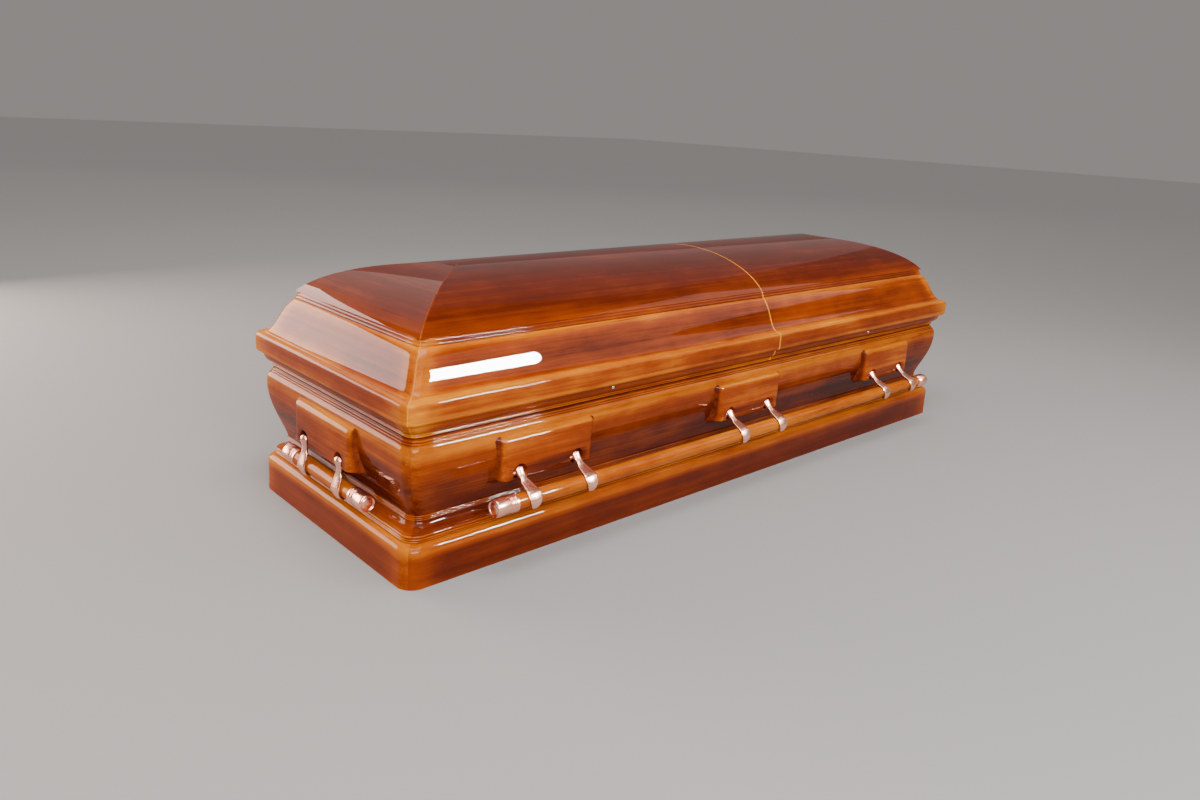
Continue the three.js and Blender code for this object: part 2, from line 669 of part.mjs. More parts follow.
function hingeLeaf(spans, knuckles, bottom) {
  const outer = HINGE_Y - HINGE_RADIUS - FIT_GAP;
  const inner = RIM_WIDTH / 2 - PAD_INSET + 3 * FIT_GAP;
  const slab = (start, end, low, high) => {
    const geometry = new THREE.BoxGeometry(end - start, high - low, LEAF_THICKNESS);
    geometry.translate((start + end) / 2, (low + high) / 2, bottom + LEAF_THICKNESS / 2);
    return toSolid(merged(geometry));
  };
  let leaf = null;
  for (const [start, end] of spans) {
    const strip = slab(start, end, inner, outer);
    leaf = leaf === null ? strip : leaf.add(strip);
  }
  for (const [start, end] of knuckles) {
    const geometry = new THREE.CylinderGeometry(HINGE_RADIUS, HINGE_RADIUS, end - start, KNUCKLE_SIDES);
    geometry.rotateZ(Math.PI / 2);
    geometry.translate((start + end) / 2, HINGE_Y, HINGE_Z);
    leaf = leaf.add(toSolid(merged(geometry))).add(slab(start, end, outer - 1, HINGE_Y));
  }
  return fromSolid(leaf);
}

function knuckleSpans(start, end, count) {
  const step = (end - start) / count;
  const spans = [];
  for (let i = 0; i < count; i += 1) {
    spans.push([start + i * step + FIT_GAP / 2, start + (i + 1) * step - FIT_GAP / 2]);
  }
  return { own: spans.filter((_, i) => i % 2 === 1), body: spans.filter((_, i) => i % 2 === 0) };
}

const hingeEnd = RIM_LENGTH / 2 - HINGE_END_INSET;
const hingeSpans = { foot: [-hingeEnd, LIDS.foot.cut], head: [LIDS.head.cut, hingeEnd] };
const footKnuckles = knuckleSpans(...hingeSpans.foot, FOOT_KNUCKLES);
const headKnuckles = knuckleSpans(...hingeSpans.head, HEAD_KNUCKLES);
const bodyKnuckles = [...footKnuckles.body, ...headKnuckles.body];
const lowLeaf = HINGE_Z - LEAF_GAP / 2 - LEAF_THICKNESS;
const highLeaf = HINGE_Z + LEAF_GAP / 2;
addPiece('body_hinge_leaf', hingeLeaf([[-hingeEnd, hingeEnd]], bodyKnuckles, lowLeaf), brass);
addPiece('foot_lid_hinge_leaf', hingeLeaf([hingeSpans.foot], footKnuckles.own, highLeaf), brass);
addPiece('head_lid_hinge_leaf', hingeLeaf([hingeSpans.head], headKnuckles.own, highLeaf), brass);

// Catches
function catchButton(x) {
  const button = new THREE.CylinderGeometry(CATCH_RADIUS * 0.8, CATCH_RADIUS, CATCH_DEPTH, BAR_SIDES);
  button.rotateX(Math.PI);
  const face = -(RIM_WIDTH / 2 - OVOLO_INSET) - FIT_GAP;
  button.translate(x, face - CATCH_DEPTH / 2, OVOLO_Z - CATCH_DROP);
  return merged(button);
}
addPiece('foot_lid_catch', catchButton(FOOT_CATCH_X), chrome);
addPiece('head_lid_catch', catchButton(HEAD_CATCH_X), chrome);

export default coffin;
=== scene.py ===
import json
import math

import bmesh
import bpy
import numpy as np
from mathutils import Matrix, Vector

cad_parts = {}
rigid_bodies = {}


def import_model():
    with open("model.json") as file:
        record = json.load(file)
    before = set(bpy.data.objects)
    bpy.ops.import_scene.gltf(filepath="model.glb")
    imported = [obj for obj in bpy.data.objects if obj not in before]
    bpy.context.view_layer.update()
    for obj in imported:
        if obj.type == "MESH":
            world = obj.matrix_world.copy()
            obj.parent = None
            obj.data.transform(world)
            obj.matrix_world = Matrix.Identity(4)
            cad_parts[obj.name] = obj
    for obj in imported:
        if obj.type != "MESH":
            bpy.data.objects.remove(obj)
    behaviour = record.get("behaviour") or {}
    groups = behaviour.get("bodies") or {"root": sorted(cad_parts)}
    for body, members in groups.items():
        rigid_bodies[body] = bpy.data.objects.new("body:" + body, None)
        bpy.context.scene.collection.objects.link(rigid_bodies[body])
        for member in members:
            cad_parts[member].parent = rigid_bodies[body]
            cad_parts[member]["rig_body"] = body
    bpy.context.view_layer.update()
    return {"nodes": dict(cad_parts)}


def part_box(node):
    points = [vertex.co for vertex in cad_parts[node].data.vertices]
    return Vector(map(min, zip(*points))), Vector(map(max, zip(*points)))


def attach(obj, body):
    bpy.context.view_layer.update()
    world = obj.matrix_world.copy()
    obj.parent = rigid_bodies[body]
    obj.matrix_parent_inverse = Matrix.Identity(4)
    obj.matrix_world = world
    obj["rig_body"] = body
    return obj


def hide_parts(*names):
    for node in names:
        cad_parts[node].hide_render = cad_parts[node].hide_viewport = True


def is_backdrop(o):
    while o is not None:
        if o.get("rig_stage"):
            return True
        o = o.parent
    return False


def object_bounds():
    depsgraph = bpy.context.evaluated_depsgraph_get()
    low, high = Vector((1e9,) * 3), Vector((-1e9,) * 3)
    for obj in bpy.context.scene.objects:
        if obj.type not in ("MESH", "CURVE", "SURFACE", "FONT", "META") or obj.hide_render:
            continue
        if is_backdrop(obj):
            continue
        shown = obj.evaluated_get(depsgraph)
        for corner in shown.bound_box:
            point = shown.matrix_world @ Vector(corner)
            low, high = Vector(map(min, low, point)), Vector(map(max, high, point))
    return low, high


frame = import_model()


# Base frame
# Four plinth rails of solid wood stand on the floor and carry the coffin. They are mitred at
# the rounded corners, and a cutter has rounded their top edge over.
RIM_X = -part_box("foot_lid_end_rim")[0].x
RIM_Y = -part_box("foot_lid_front_rim")[0].y
SIDES = {
    "front": {"along": (1, 0), "out": (0, -1), "half_along": RIM_X, "half_out": RIM_Y},
    "back": {"along": (1, 0), "out": (0, 1), "half_along": RIM_X, "half_out": RIM_Y},
    "foot": {"along": (0, 1), "out": (-1, 0), "half_along": RIM_Y, "half_out": RIM_X},
    "head": {"along": (0, 1), "out": (1, 0), "half_along": RIM_Y, "half_out": RIM_X},
}
ENDS = ("foot", "head")
MITRE_GAP = 0.0002
CORNER_TURNS = np.linspace(0, math.pi / 4, 9)
CORNER_EASE = (0.012, 0.03, 0.06, 0.12, 0.2)
GLOW_REACH = 0.030
SHARP_ANGLE = math.radians(32)
MERGE_DISTANCE = 1e-6
SLIVER_LENGTH = 1e-7
INNER_RADIUS = 0.004
INSIDE = -1.0


def run(*rows):
    """A stretch of a profile through given points: inset from the rim, height, tone, radius.

    Tone is 0 in a deep red-brown field, 1 on a golden edge, and -1 on the plain inside. It is
    partly a toner that is paler on the rounded edges and partly painted light: rolls and beads
    are painted lighter where light catches them, and coves and recesses darker where shade
    falls."""
    return np.array(rows, float)


def bend(start, end, first, second, steps):
    """A cubic Bezier stretch of a profile. Each handle is a share of the step between the
    ends, and tone and radius change evenly along it."""
    start, end = np.array(start, float), np.array(end, float)
    t = np.linspace(0, 1, steps + 1)[:, None]
    handles = [start[:2] + np.array(h) * (end[:2] - start[:2]) for h in (first, second)]
    weights = [(1 - t) ** 3, 3 * t * (1 - t) ** 2, 3 * t**2 * (1 - t), t**3]
    corners = [start[:2], *handles, end[:2]]
    place = sum(w * c for w, c in zip(weights, corners))
    return np.hstack([place, start[2:] + t * (end[2:] - start[2:])])


def reeds(start, end, count, height, tone, steps=8):
    """Half-round reeds side by side between two points of a profile: a straight line plus
    the height times the sine of the way along each reed, outwards."""
    start, end = np.array(start, float), np.array(end, float)
    t = np.linspace(0, 1, count * steps + 1)
    swell = np.abs(np.sin(math.pi * count * t))
    step = end[:2] - start[:2]
    outward = np.array([-step[1], step[0]]) / np.linalg.norm(step)
    line = start[:2] + t[:, None] * step + height * swell[:, None] * outward
    tones = start[2] + (tone - start[2]) * swell
    return np.column_stack([line, tones, np.full_like(t, start[3])])


def board_end(profile, side, end, cut):
    """Stations from the middle of a board to one end, as (along, out, glow) for each profile
    point: square at a cut, or round the corner's radius up to the mitre."""
    inset, radius = profile[:, 0], profile[:, 3]
    if cut is not None:
        return [(np.full_like(inset, cut), side["half_out"] - inset, 0.0)]
    corner = side["half_along"] - inset - radius
    straight = [
        (end * (corner - step), side["half_out"] - inset, math.exp(-((step / GLOW_REACH) ** 2)))
        for step in reversed(CORNER_EASE)
    ]
    turned = []
    for turn in CORNER_TURNS:
        gap = MITRE_GAP if turn == CORNER_TURNS[-1] else 0
        along = end * (corner + radius * math.sin(turn) - gap)
        out = side["half_out"] - inset - radius + radius * math.cos(turn)
        turned.append((along, out, 1.0))
    return straight + turned


def solid(name, loops, tones, caps=None):
    """A closed mesh: each closed loop is joined to the next by quads, and both ends are closed
    by faces over the given runs of corners, or by one face. Faces are turned outwards."""
    rows, columns = loops.shape[:2]
    row, column = np.meshgrid(np.arange(rows - 1), np.arange(columns), indexing="ij")
    a = row * columns + column
    b = row * columns + (column + 1) % columns
    quads = np.stack([a, b, b + columns, a + columns], axis=-1).reshape(-1, 4)
    last = (rows - 1) * columns
    ends = caps or [list(range(columns))]
    faces = quads.tolist() + ends + [[i + last for i in face] for face in ends]
    mesh = bpy.data.meshes.new(name)
    mesh.from_pydata(loops.reshape(-1, 3).tolist(), [], faces)
    mesh.attributes.new("tone", "FLOAT", "POINT")
    mesh.attributes["tone"].data.foreach_set("value", tones.astype(np.float32).ravel())
    return closed(name, mesh)


def smooth(mesh):
    """Shades a mesh smooth up to its sharp edges."""
    mesh.shade_smooth()
    mesh.set_sharp_from_angle(angle=SHARP_ANGLE)


def placed(name, mesh):
    """A new object of a mesh, in the scene."""
    smooth(mesh)
    piece = bpy.data.objects.new(name, mesh)
    bpy.context.scene.collection.objects.link(piece)
    return piece


def closed(name, mesh):
    """An object of a mesh whose corners that coincide are merged and whose faces are turned
    outwards."""
    shape = bmesh.new()
    shape.from_mesh(mesh)
    bmesh.ops.remove_doubles(shape, verts=shape.verts, dist=MERGE_DISTANCE)
    bmesh.ops.dissolve_degenerate(shape, dist=SLIVER_LENGTH, edges=shape.edges)
    bmesh.ops.recalc_face_normals(shape, faces=shape.faces)
    if shape.calc_volume(signed=True) < 0:
        bmesh.ops.reverse_faces(shape, faces=shape.faces)
    shape.to_mesh(mesh)
    shape.free()
    return placed(name, mesh)


def moulding(name, profile, side, corner_paling, start=None, end=None):
    """A profile carried along one side of the coffin, with a mitre or a square cut at each
    end. The stain is paler round each corner, by the share of corner paling."""
    stations = board_end(profile, side, -1, start)[::-1] + board_end(profile, side, 1, end)
    along = np.stack([s[0] for s in stations])
    out = np.stack([s[1] for s in stations])
    glow = np.array([s[2] for s in stations])[:, None]
    heights = np.broadcast_to(profile[:, 1], along.shape)
    ax, ay = side["along"]
    ox, oy = side["out"]
    loops = np.stack([ax * along + ox * out, ay * along + oy * out, heights], axis=-1)
    tone = profile[:, 2]
    tones = np.where(tone < 0, tone, tone + (1 - tone) * corner_paling * glow)
    return solid(name, loops, tones)


def ease_edges(piece, width):
    """Takes the sharpness off the edges, as sanding before lacquer does."""
    bevel = piece.modifiers.new("eased_edges", "BEVEL")
    bevel.width = width
    bevel.segments = 2
    bevel.limit_method = "ANGLE"
    bevel.angle_limit = SHARP_ANGLE
    bevel.harden_normals = True


class Value:
    """A socket of a material. Arithmetic on it adds Math nodes."""

    def __init__(self, tree, socket):
        self.tree = tree
        self.socket = socket

    def node(self, kind, settings=None, inputs=None, output=0):
        """Any node: its settings are set first, then the values or links of its sockets."""
        made = self.tree.nodes.new(kind)
        for key, setting in (settings or {}).items():
            if key == "stops":
                set_stops(made.color_ramp, setting)
            else:
                setattr(made, key, setting)
        for key, value in (inputs or {}).items():
            if isinstance(value, Value):
                self.tree.links.new(value.socket, made.inputs[key])
            else:
                made.inputs[key].default_value = value
        return Value(self.tree, made.outputs[output])

    def math(self, operation, *values, clamp=False):
        settings = {"operation": operation, "use_clamp": clamp}
        return self.node("ShaderNodeMath", settings, dict(enumerate(values)))

    def __add__(self, other):
        return self.math("ADD", self, other)

    def __radd__(self, other):
        return self.math("ADD", other, self)

    def __sub__(self, other):
        return self.math("SUBTRACT", self, other)

    def __rsub__(self, other):
        return self.math("SUBTRACT", other, self)

    def __mul__(self, other):
        return self.math("MULTIPLY", self, other)

    def __rmul__(self, other):
        return self.math("MULTIPLY", other, self)

    def absolute(self):
        return self.math("ABSOLUTE", self)

    def clamped(self):
        return self.math("ADD", self, 0.0, clamp=True)

    def stretched(self, *scale):
        """A vector scaled along each axis."""
        inputs = {0: self, 1: scale}
        return self.node("ShaderNodeVectorMath", {"operation": "MULTIPLY"}, inputs)

    def step(self, low, high):
        """0 at low, 1 at high, and smooth in between."""
        inputs = {"Value": self, "From Min": low, "From Max": high}
        return self.node("ShaderNodeMapRange", {"interpolation_type": "SMOOTHSTEP"}, inputs)

    def between(self, first, second):
        """A colour mixed from two by this factor."""
        settings = {"data_type": "RGBA"}
        inputs = {"Factor": self, 6: first, 7: second}
        return self.node("ShaderNodeMix", settings, inputs, output=2)

    def noise(self, scale, detail=2.0, roughness=0.5):
        """Cloudy noise, from about 0 to 1, at this place."""
        inputs = {"Vector": self, "Scale": scale, "Detail": detail, "Roughness": roughness}
        return self.node("ShaderNodeTexNoise", {}, inputs)


def set_stops(ramp, stops):
    """Gives a colour ramp its stops, as pairs of a place and a colour."""
    while len(ramp.elements) < len(stops):
        ramp.elements.new(0.5)
    for element, (place, color) in zip(ramp.elements, stops):
        element.position = place
        element.color = (*color, 1)


def new_material(name):
    """A material, its shader and the place on the object that its patterns read."""
    material = bpy.data.materials.new(name)
    material.use_nodes = True
    tree = material.node_tree
    shader = tree.nodes["Principled BSDF"]
    start = Value(tree, None)
    place = start.node("ShaderNodeTexCoord", output="Object")
    return material, shader, place


def feed(shader, values):
    """Sets the shader's own sockets, or links them where the value varies."""
    for key, value in values.items():
        if isinstance(value, Value):
            value.tree.links.new(value.socket, shader.inputs[key])
        else:
            shader.inputs[key].default_value = value


# Stain from the darkest streak to the gold of the palest edges, as linear colours
STAIN = [
    (0.0, (0.022, 0.0020, 0.0003)),
    (0.25, (0.085, 0.0085, 0.0008)),
    (0.5, (0.230, 0.0330, 0.0012)),
    (0.75, (0.460, 0.1250, 0.0026)),
    (1.0, (0.720, 0.2800, 0.0070)),
]
BARE_INSIDE = (0.42, 0.235, 0.11, 1)
# How far each part of the figure is drawn out along the board and across it
STREAK_STRETCH = (0.8, 52, 52)
VEIN_STRETCH = (0.8, 17, 17)
DRIFT_STRETCH = (1.5, 6.0, 6.0)
MOTTLE_STRETCH = (11, 20, 20)
FIBRE_STRETCH = (16, 560, 560)
# How much each part of the figure moves the shade, from the field's own shade
STREAK_SHARE = 0.60
DRIFT_SHARE = 0.5
MOTTLE_SHARE = 0.3
FIBRE_SHARE = 0.18
VEIN_SHARE = 0.05
VEIN_WIDTH = 0.03
FIELD_SHADE = 0.33
TONE_SHARE = 0.52
# The pale lines where the stain is rubbed off beside a mitre, and beside the parting, where a
# painted highlight on the eased sawn edge is added too
MITRE_LINE = (0.0008, 0.0032)
MITRE_SHARE = 0.2
PARTING_LINE = (0.001, 0.0034)
PARTING_SHARE = 0.7


def lacquered_wood(name, turned, offset, depth=0.0, calm=0.0, seams=False):
    """Stained wood under a thick gloss lacquer. The figure is long soft streaks with a few
    darker veins, a slow drift, a mottle and fine fibres. The tone pales the stain on rolled
    edges and darkens it in coves, partly as toner and partly as painted light and shade.
    Depth darkens the field, calm fades the figure, and seams pales the stain beside the
    mitres, where it is rubbed off, and beside the parting, where it is rubbed off and a
    highlight on the eased sawn edge is painted on as well."""
    material, shader, place = new_material(name)
    turn = (0, 0, math.pi / 2 if turned else 0)
    inputs = {"Vector": place, "Location": offset, "Rotation": turn}
    board = place.node("ShaderNodeMapping", {}, inputs)
    streaks = board.stretched(*STREAK_STRETCH).noise(1.0, 8.0, 0.72)
    drift = board.stretched(*DRIFT_STRETCH).noise(1.6, 2.0)
    fibres = board.stretched(*FIBRE_STRETCH).noise(1.0, 2.0, 0.6)
    mottle = board.stretched(*MOTTLE_STRETCH).noise(1.0, 3.0, 0.55)
    vein = board.stretched(*VEIN_STRETCH).noise(1.0, 3.0, 0.5) - 0.5
    veins = 1 - vein.absolute().step(0.0, VEIN_WIDTH)
    tone = place.node("ShaderNodeAttribute", {"attribute_name": "tone"}, output="Fac")
    figure = (streaks - 0.5) * STREAK_SHARE + (drift - 0.5) * DRIFT_SHARE - veins * VEIN_SHARE
    figure = figure + (fibres - 0.5) * FIBRE_SHARE + (mottle - 0.5) * MOTTLE_SHARE
    # Tone lightens rolls and darkens coves: part toner, part painted light and shade.
    shade = figure * (1 - calm) + FIELD_SHADE - depth + tone.clamped() * TONE_SHARE
    if seams:
        apart = place.node("ShaderNodeSeparateXYZ", {}, {"Vector": place})
        across = Value(apart.tree, apart.socket.node.outputs["Y"])
        beside = apart.absolute() - across.absolute() - (RIM_X - RIM_Y)
        mitre = 1 - beside.absolute().step(*MITRE_LINE)
        # Beside the parting the pale line is partly rubbed-off stain and partly a painted
        # highlight on its eased edge.
        parting = 1 - (apart - SPLIT_X).absolute().step(*PARTING_LINE)
        shade = shade + mitre * MITRE_SHARE + parting * PARTING_SHARE
    stain = shade.node("ShaderNodeValToRGB", {"stops": STAIN}, {"Fac": shade.clamped()})
    inside = (tone * -1.0).clamped()
    height = fibres * 0.4 + streaks * 0.6
    inputs = {"Height": height, "Strength": 0.04, "Distance": 0.0005}
    bump = height.node("ShaderNodeBump", {}, inputs)
    feed(shader, {
        "Base Color": inside.between(stain, BARE_INSIDE),
        "Roughness": 0.34 + mottle * 0.12 + inside * 0.2,
        "Coat Weight": 0.64 - inside * 0.5,
        "Coat Roughness": 0.012,
        "Coat IOR": 1.34,
        "Specular IOR Level": 0.0,
        "Normal": bump,
    })
    return material


def dress(piece, nodes, material):
    """Gives a piece its finish, and lets it stand for its nodes on the body they are on."""
    piece.data.materials.append(material)
    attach(piece, frame["nodes"][nodes[0]]["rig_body"])
    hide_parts(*nodes)


SPLIT_X = (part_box("foot_lid_crown")[1].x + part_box("head_lid_crown")[0].x) / 2
BASE_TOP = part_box("front_base_rail")[1].z
BASE_INSET = 0.016
BASE_EDGE_DEPTH = 0.015
BASE_EDGE_HEIGHT = 0.016
BASE_THICKNESS = 0.034
BASE_RADIUS = 0.038
BASE_CORNER_PALING = 0.4
BASE_EASE = 0.0007
BASE_CALM = 0.45
# Painted shade: the long front and back rails are stained darker than the end rails, for the
# shade on the long sides and the light on the ends.
BASE_SIDE_SHADE = {"front": 0.14, "back": 0.14, "foot": 0.04, "head": 0.04}
plinth_wood = {
    side: lacquered_wood(
        f"plinth_wood_{side}",
        side in ENDS,
        (0.3, 0.07, -0.12),
        BASE_SIDE_SHADE[side],
        calm=BASE_CALM,
    )
    for side in SIDES
}
base_profile = np.vstack([
    run((BASE_INSET, 0, 0.2, BASE_RADIUS), (BASE_INSET, 0.02, 0.12, BASE_RADIUS)),
    run((BASE_INSET, BASE_TOP - 2 * BASE_EDGE_HEIGHT, 0.15, BASE_RADIUS)),
    # The rounded top edge goes golden: partly toner, partly a painted highlight where light
    # catches the roll.
    bend(
        (BASE_INSET, BASE_TOP - BASE_EDGE_HEIGHT, 0.75, BASE_RADIUS),
        (BASE_INSET + BASE_EDGE_DEPTH, BASE_TOP, 0.8, BASE_RADIUS),
        (0, 0.55), (0.45, 1), 12,
    ),
    run(
        (BASE_INSET + BASE_THICKNESS, BASE_TOP, INSIDE, INNER_RADIUS),
        (BASE_INSET + BASE_THICKNESS, 0, INSIDE, INNER_RADIUS),
    ),
])
for name, side in SIDES.items():
    rail = moulding(f"{name}_plinth_moulding", base_profile, side, BASE_CORNER_PALING)
    ease_edges(rail, BASE_EASE)
    dress(rail, [f"{name}_base_rail"], plinth_wood[name])


# Bottom board
# A flat board lies on the base frame. Its edge shows all round as two fine reeds, and it is
# left plain inside, where it carries the bedding.
BOARD_LOW, BOARD_HIGH = (corner.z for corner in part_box("bottom_board"))
BOARD_INSET = 0.0325
BOARD_RADIUS = 0.032
BOARD_MARGIN = 0.020
BOARD_INNER_RADIUS = 0.012
BOARD_REED = 0.0015


def board_outline(inset, radius):
    """Corners round a rounded rectangle: each corner's centre plus the radius turned through
    a right angle."""
    turns = np.linspace(0, math.pi / 2, 13)
    centres = [(1, 1, 0), (-1, 1, 1), (-1, -1, 2), (1, -1, 3)]
    corners = []
    for sx, sy, quarter in centres:
        angle = turns + quarter * math.pi / 2
        x = sx * (RIM_X - inset - radius) + radius * np.cos(angle)
        y = sy * (RIM_Y - inset - radius) + radius * np.sin(angle)
        corners.append(np.column_stack([x, y]))
    return np.vstack(corners)


edge = np.vstack([
    run((BOARD_INSET + BOARD_MARGIN, BOARD_LOW, INSIDE, BOARD_INNER_RADIUS)),
    reeds(
        (BOARD_INSET, BOARD_LOW, 0.2, BOARD_RADIUS),
        (BOARD_INSET, BOARD_HIGH, 0.2, BOARD_RADIUS),
        2, BOARD_REED, 0.75,
    ),
    run((BOARD_INSET + BOARD_MARGIN, BOARD_HIGH, INSIDE, BOARD_INNER_RADIUS)),
])
rings = [board_outline(inset, radius) for inset, _, _, radius in edge]
levels = [np.full((len(ring), 1), z) for ring, z in zip(rings, edge[:, 1])]
board_loops = np.stack([np.hstack(pair) for pair in zip(rings, levels)])
board_tones = np.repeat(edge[:, 2][:, None], board_loops.shape[1], axis=1)
bottom = solid("bottom_board_reeded", board_loops, board_tones)
bottom_wood = lacquered_wood("bottom_wood", False, (0.1, 0.4, 0.3))
dress(bottom, ["bottom_board"], bottom_wood)


# Walls
# Four moulded boards with rounded, mitred corners: a cove over a bead at the foot, three fine
# reeds round the waist, an ogee out to the belly and two reeds under the lid.
WALL_LOW, WALL_HIGH = (corner.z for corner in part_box("front_wall"))
WALL_RADIUS = 0.032
WALL_THICKNESS = 0.022
FOOT_INSET = 0.0325
WAIST_INSET = 0.053
WAIST_Z = WALL_LOW + 0.030
BELLY_INSET = 0.017
BELLY_Z = WALL_LOW + 0.174
SHOULDER_INSET = 0.030
WALL_CORNER_PALING = 0.2
WALL_EASE = 0.0005
BELLY_STEPS = 28
body_wood = {
    side: lacquered_wood(f"body_wood_{side}", side in ENDS, (0.7, 0.03, 0.21), 0.12)
    for side in SIDES
}
belly_rise = bend(
    (WAIST_INSET, WAIST_Z, 0.15, WALL_RADIUS),
    (BELLY_INSET, BELLY_Z, 0.1, WALL_RADIUS),
    (0, 0.2), (1, 0.55), BELLY_STEPS,
)
risen = np.linspace(0, 1, BELLY_STEPS + 1)
# The tone rises from the dark waist to the golden belly: partly toner, partly painted light on
# the belly's roll and painted shade in the waist beneath it.
belly_rise[:, 2] = 0.12 * risen + 0.6 * risen**5
waist_top = belly_rise[belly_rise[:, 1] > WAIST_Z + 0.008]
wall_profile = np.vstack([
    run((SHOULDER_INSET + 0.004, WALL_LOW, 0.1, WALL_RADIUS)),
    reeds(
        (FOOT_INSET, WALL_LOW, 0.2, WALL_RADIUS),
        (FOOT_INSET + 0.001, WALL_LOW + 0.006, 0.2, WALL_RADIUS),
        1, 0.0017, 0.9,
    ),
    bend(
        (FOOT_INSET + 0.0025, WALL_LOW + 0.0062, 0.5, WALL_RADIUS),
        (WAIST_INSET + 0.0008, WAIST_Z - 0.005, 0.0, WALL_RADIUS),
        (0.45, 0.13), (0.95, 0.5), 14,
    ),
    reeds(
        (WAIST_INSET + 0.0008, WAIST_Z - 0.005, 0.1, WALL_RADIUS),
        (WAIST_INSET, WAIST_Z + 0.007, 0.1, WALL_RADIUS),
        3, 0.0016, 0.6,
    ),
    waist_top,
    bend(
        (BELLY_INSET, BELLY_Z, 0.8, WALL_RADIUS),
        (SHOULDER_INSET - 0.0065, WALL_HIGH - 0.0115, 0.8, WALL_RADIUS),
        (0, 0.6), (0.35, 0.85), 12,
    )[1:],
    reeds(
        (SHOULDER_INSET - 0.005, WALL_HIGH - 0.0112, 0.3, WALL_RADIUS),
        (SHOULDER_INSET, WALL_HIGH - 0.0015, 0.3, WALL_RADIUS),
        2, 0.0014, 0.8,
    ),
    run(
        (SHOULDER_INSET + 0.001, WALL_HIGH, 0.3, WALL_RADIUS),
        (SHOULDER_INSET + WALL_THICKNESS, WALL_HIGH, INSIDE, INNER_RADIUS),
    ),
    bend(
        (BELLY_INSET + WALL_THICKNESS, BELLY_Z, INSIDE, INNER_RADIUS),
        (WAIST_INSET + WALL_THICKNESS, WAIST_Z, INSIDE, INNER_RADIUS),
        (0, 0.45), (1, 0.8), 10,
    ),
    run((WAIST_INSET + WALL_THICKNESS, WALL_LOW, INSIDE, INNER_RADIUS)),
])
for name, side in SIDES.items():
    wall = moulding(f"{name}_wall_moulding", wall_profile, side, WALL_CORNER_PALING)
    ease_edges(wall, WALL_EASE)
    dress(wall, [f"{name}_wall"], body_wood[name])


# Handle blocks
# Eight shaped blocks are glued to the belly of the walls. Their top edge is rounded, their
# hollow returns sweep out to the wall at top and foot, and two round sockets take the arms.
BLOCK_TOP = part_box("front_middle_block")[1].z
BLOCK_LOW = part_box("front_middle_block")[0].z
BLOCK_WIDTH = 0.252
BLOCK_FACE_INSET = 0.002
BLOCK_UNDERCUT = 0.012
BLOCK_ROUNDING = 0.014
BLOCK_CORNER = 0.013
BLOCK_FLARE = 0.0178
BLOCK_WAIST = 0.3
WAIST_CURVE = 2.2
FLARE_CURVE = 1.6
RETURN_SHARE = 0.55
RETURN_STEPS = 9
CORNER_START = 0.15
# Tones of the block: mid on the face, golden on the rounded top and none on the hollow returns,
# painted light on the top and painted shade on the returns.
FACE_TONE = 0.36
TOP_TONE = 0.96
TONE_FROM = 0.5
TONE_OVER = 0.3
ARM_SPACING = 0.160
SOCKET_RADIUS = 0.0185
SOCKET_DEPTH = 0.025
SOCKET_Z = 0.2005
SOCKET_LIP = 0.0016
CUTTER_LENGTH = 0.020


def wall_inset(z):
    """The inset of the wall's face at a height, read off its profile without the reeds."""
    return np.interp(z, belly_rise[:, 1], belly_rise[:, 0])


def block_loops(side, centre):
    """Loops round the block, one at each height. From the wall to the face and back, the
    half width shrinks from the flare to the straight return and round the corner. The flare
    is widest near the top and at the foot, narrow at the waist, and dies out at the top."""
    dome = BLOCK_TOP - BLOCK_ROUNDING * (1 - np.sin(np.linspace(0, math.pi / 2, 13)))
    straight = np.linspace(BLOCK_LOW + BLOCK_UNDERCUT, dome[0], 16)[:-1]
    under = np.linspace(BLOCK_LOW, BLOCK_LOW + BLOCK_UNDERCUT, 5)[:-1]
    heights = np.concatenate([under, straight, dome])
    wall = wall_inset(heights)
    share = (heights - (BLOCK_TOP - BLOCK_ROUNDING)) / BLOCK_ROUNDING
    rise = np.sqrt(np.clip(1 - np.clip(share, 0, 1) ** 2, 0, 1))
    drop = np.clip((heights - BLOCK_LOW) / BLOCK_UNDERCUT, 0, 1)
    face = wall + (BLOCK_FACE_INSET - wall) * rise * drop
    turned = (1 - RETURN_SHARE) * np.sin(np.linspace(CORNER_START, math.pi / 2, RETURN_STEPS))
    depth = np.concatenate([np.linspace(0, RETURN_SHARE, RETURN_STEPS), RETURN_SHARE + turned])
    lowness = (BLOCK_TOP - heights) / (BLOCK_TOP - BLOCK_LOW)
    from_waist = np.abs(2 * lowness - 1) ** WAIST_CURVE
    reach = (BLOCK_WAIST + (1 - BLOCK_WAIST) * from_waist) * rise
    sweep = BLOCK_FLARE * reach[:, None] * (1 - depth[None, :]) ** FLARE_CURVE
    corner = np.clip((depth - RETURN_SHARE) / (1 - RETURN_SHARE), 0, 1)
    rounding = BLOCK_CORNER * (1 - np.sqrt(1 - corner**2))
    half = BLOCK_WIDTH / 2 + sweep - rounding[None, :]
    inset = wall[:, None] + (face - wall)[:, None] * depth[None, :]
    out = side["half_out"] - np.hstack([inset, inset[:, ::-1]])
    along = centre + np.hstack([-half, half[:, ::-1]])
    levels = np.repeat(heights[:, None], along.shape[1], axis=1)
    ax, ay = side["along"]
    ox, oy = side["out"]
    loops = np.stack([ax * along + ox * out, ay * along + oy * out, levels], axis=-1)
    # Painted light and shade: the returns are left dark for the shade on them, and the rounded
    # top is painted golden for its highlight.
    face_share = np.clip((np.hstack([depth, depth[::-1]]) - TONE_FROM) / TONE_OVER, 0, 1)
    edge = FACE_TONE + (TOP_TONE - FACE_TONE) * np.clip(share, 0, 1)[:, None]
    tones = edge * face_share[None, :]
    return loops, tones


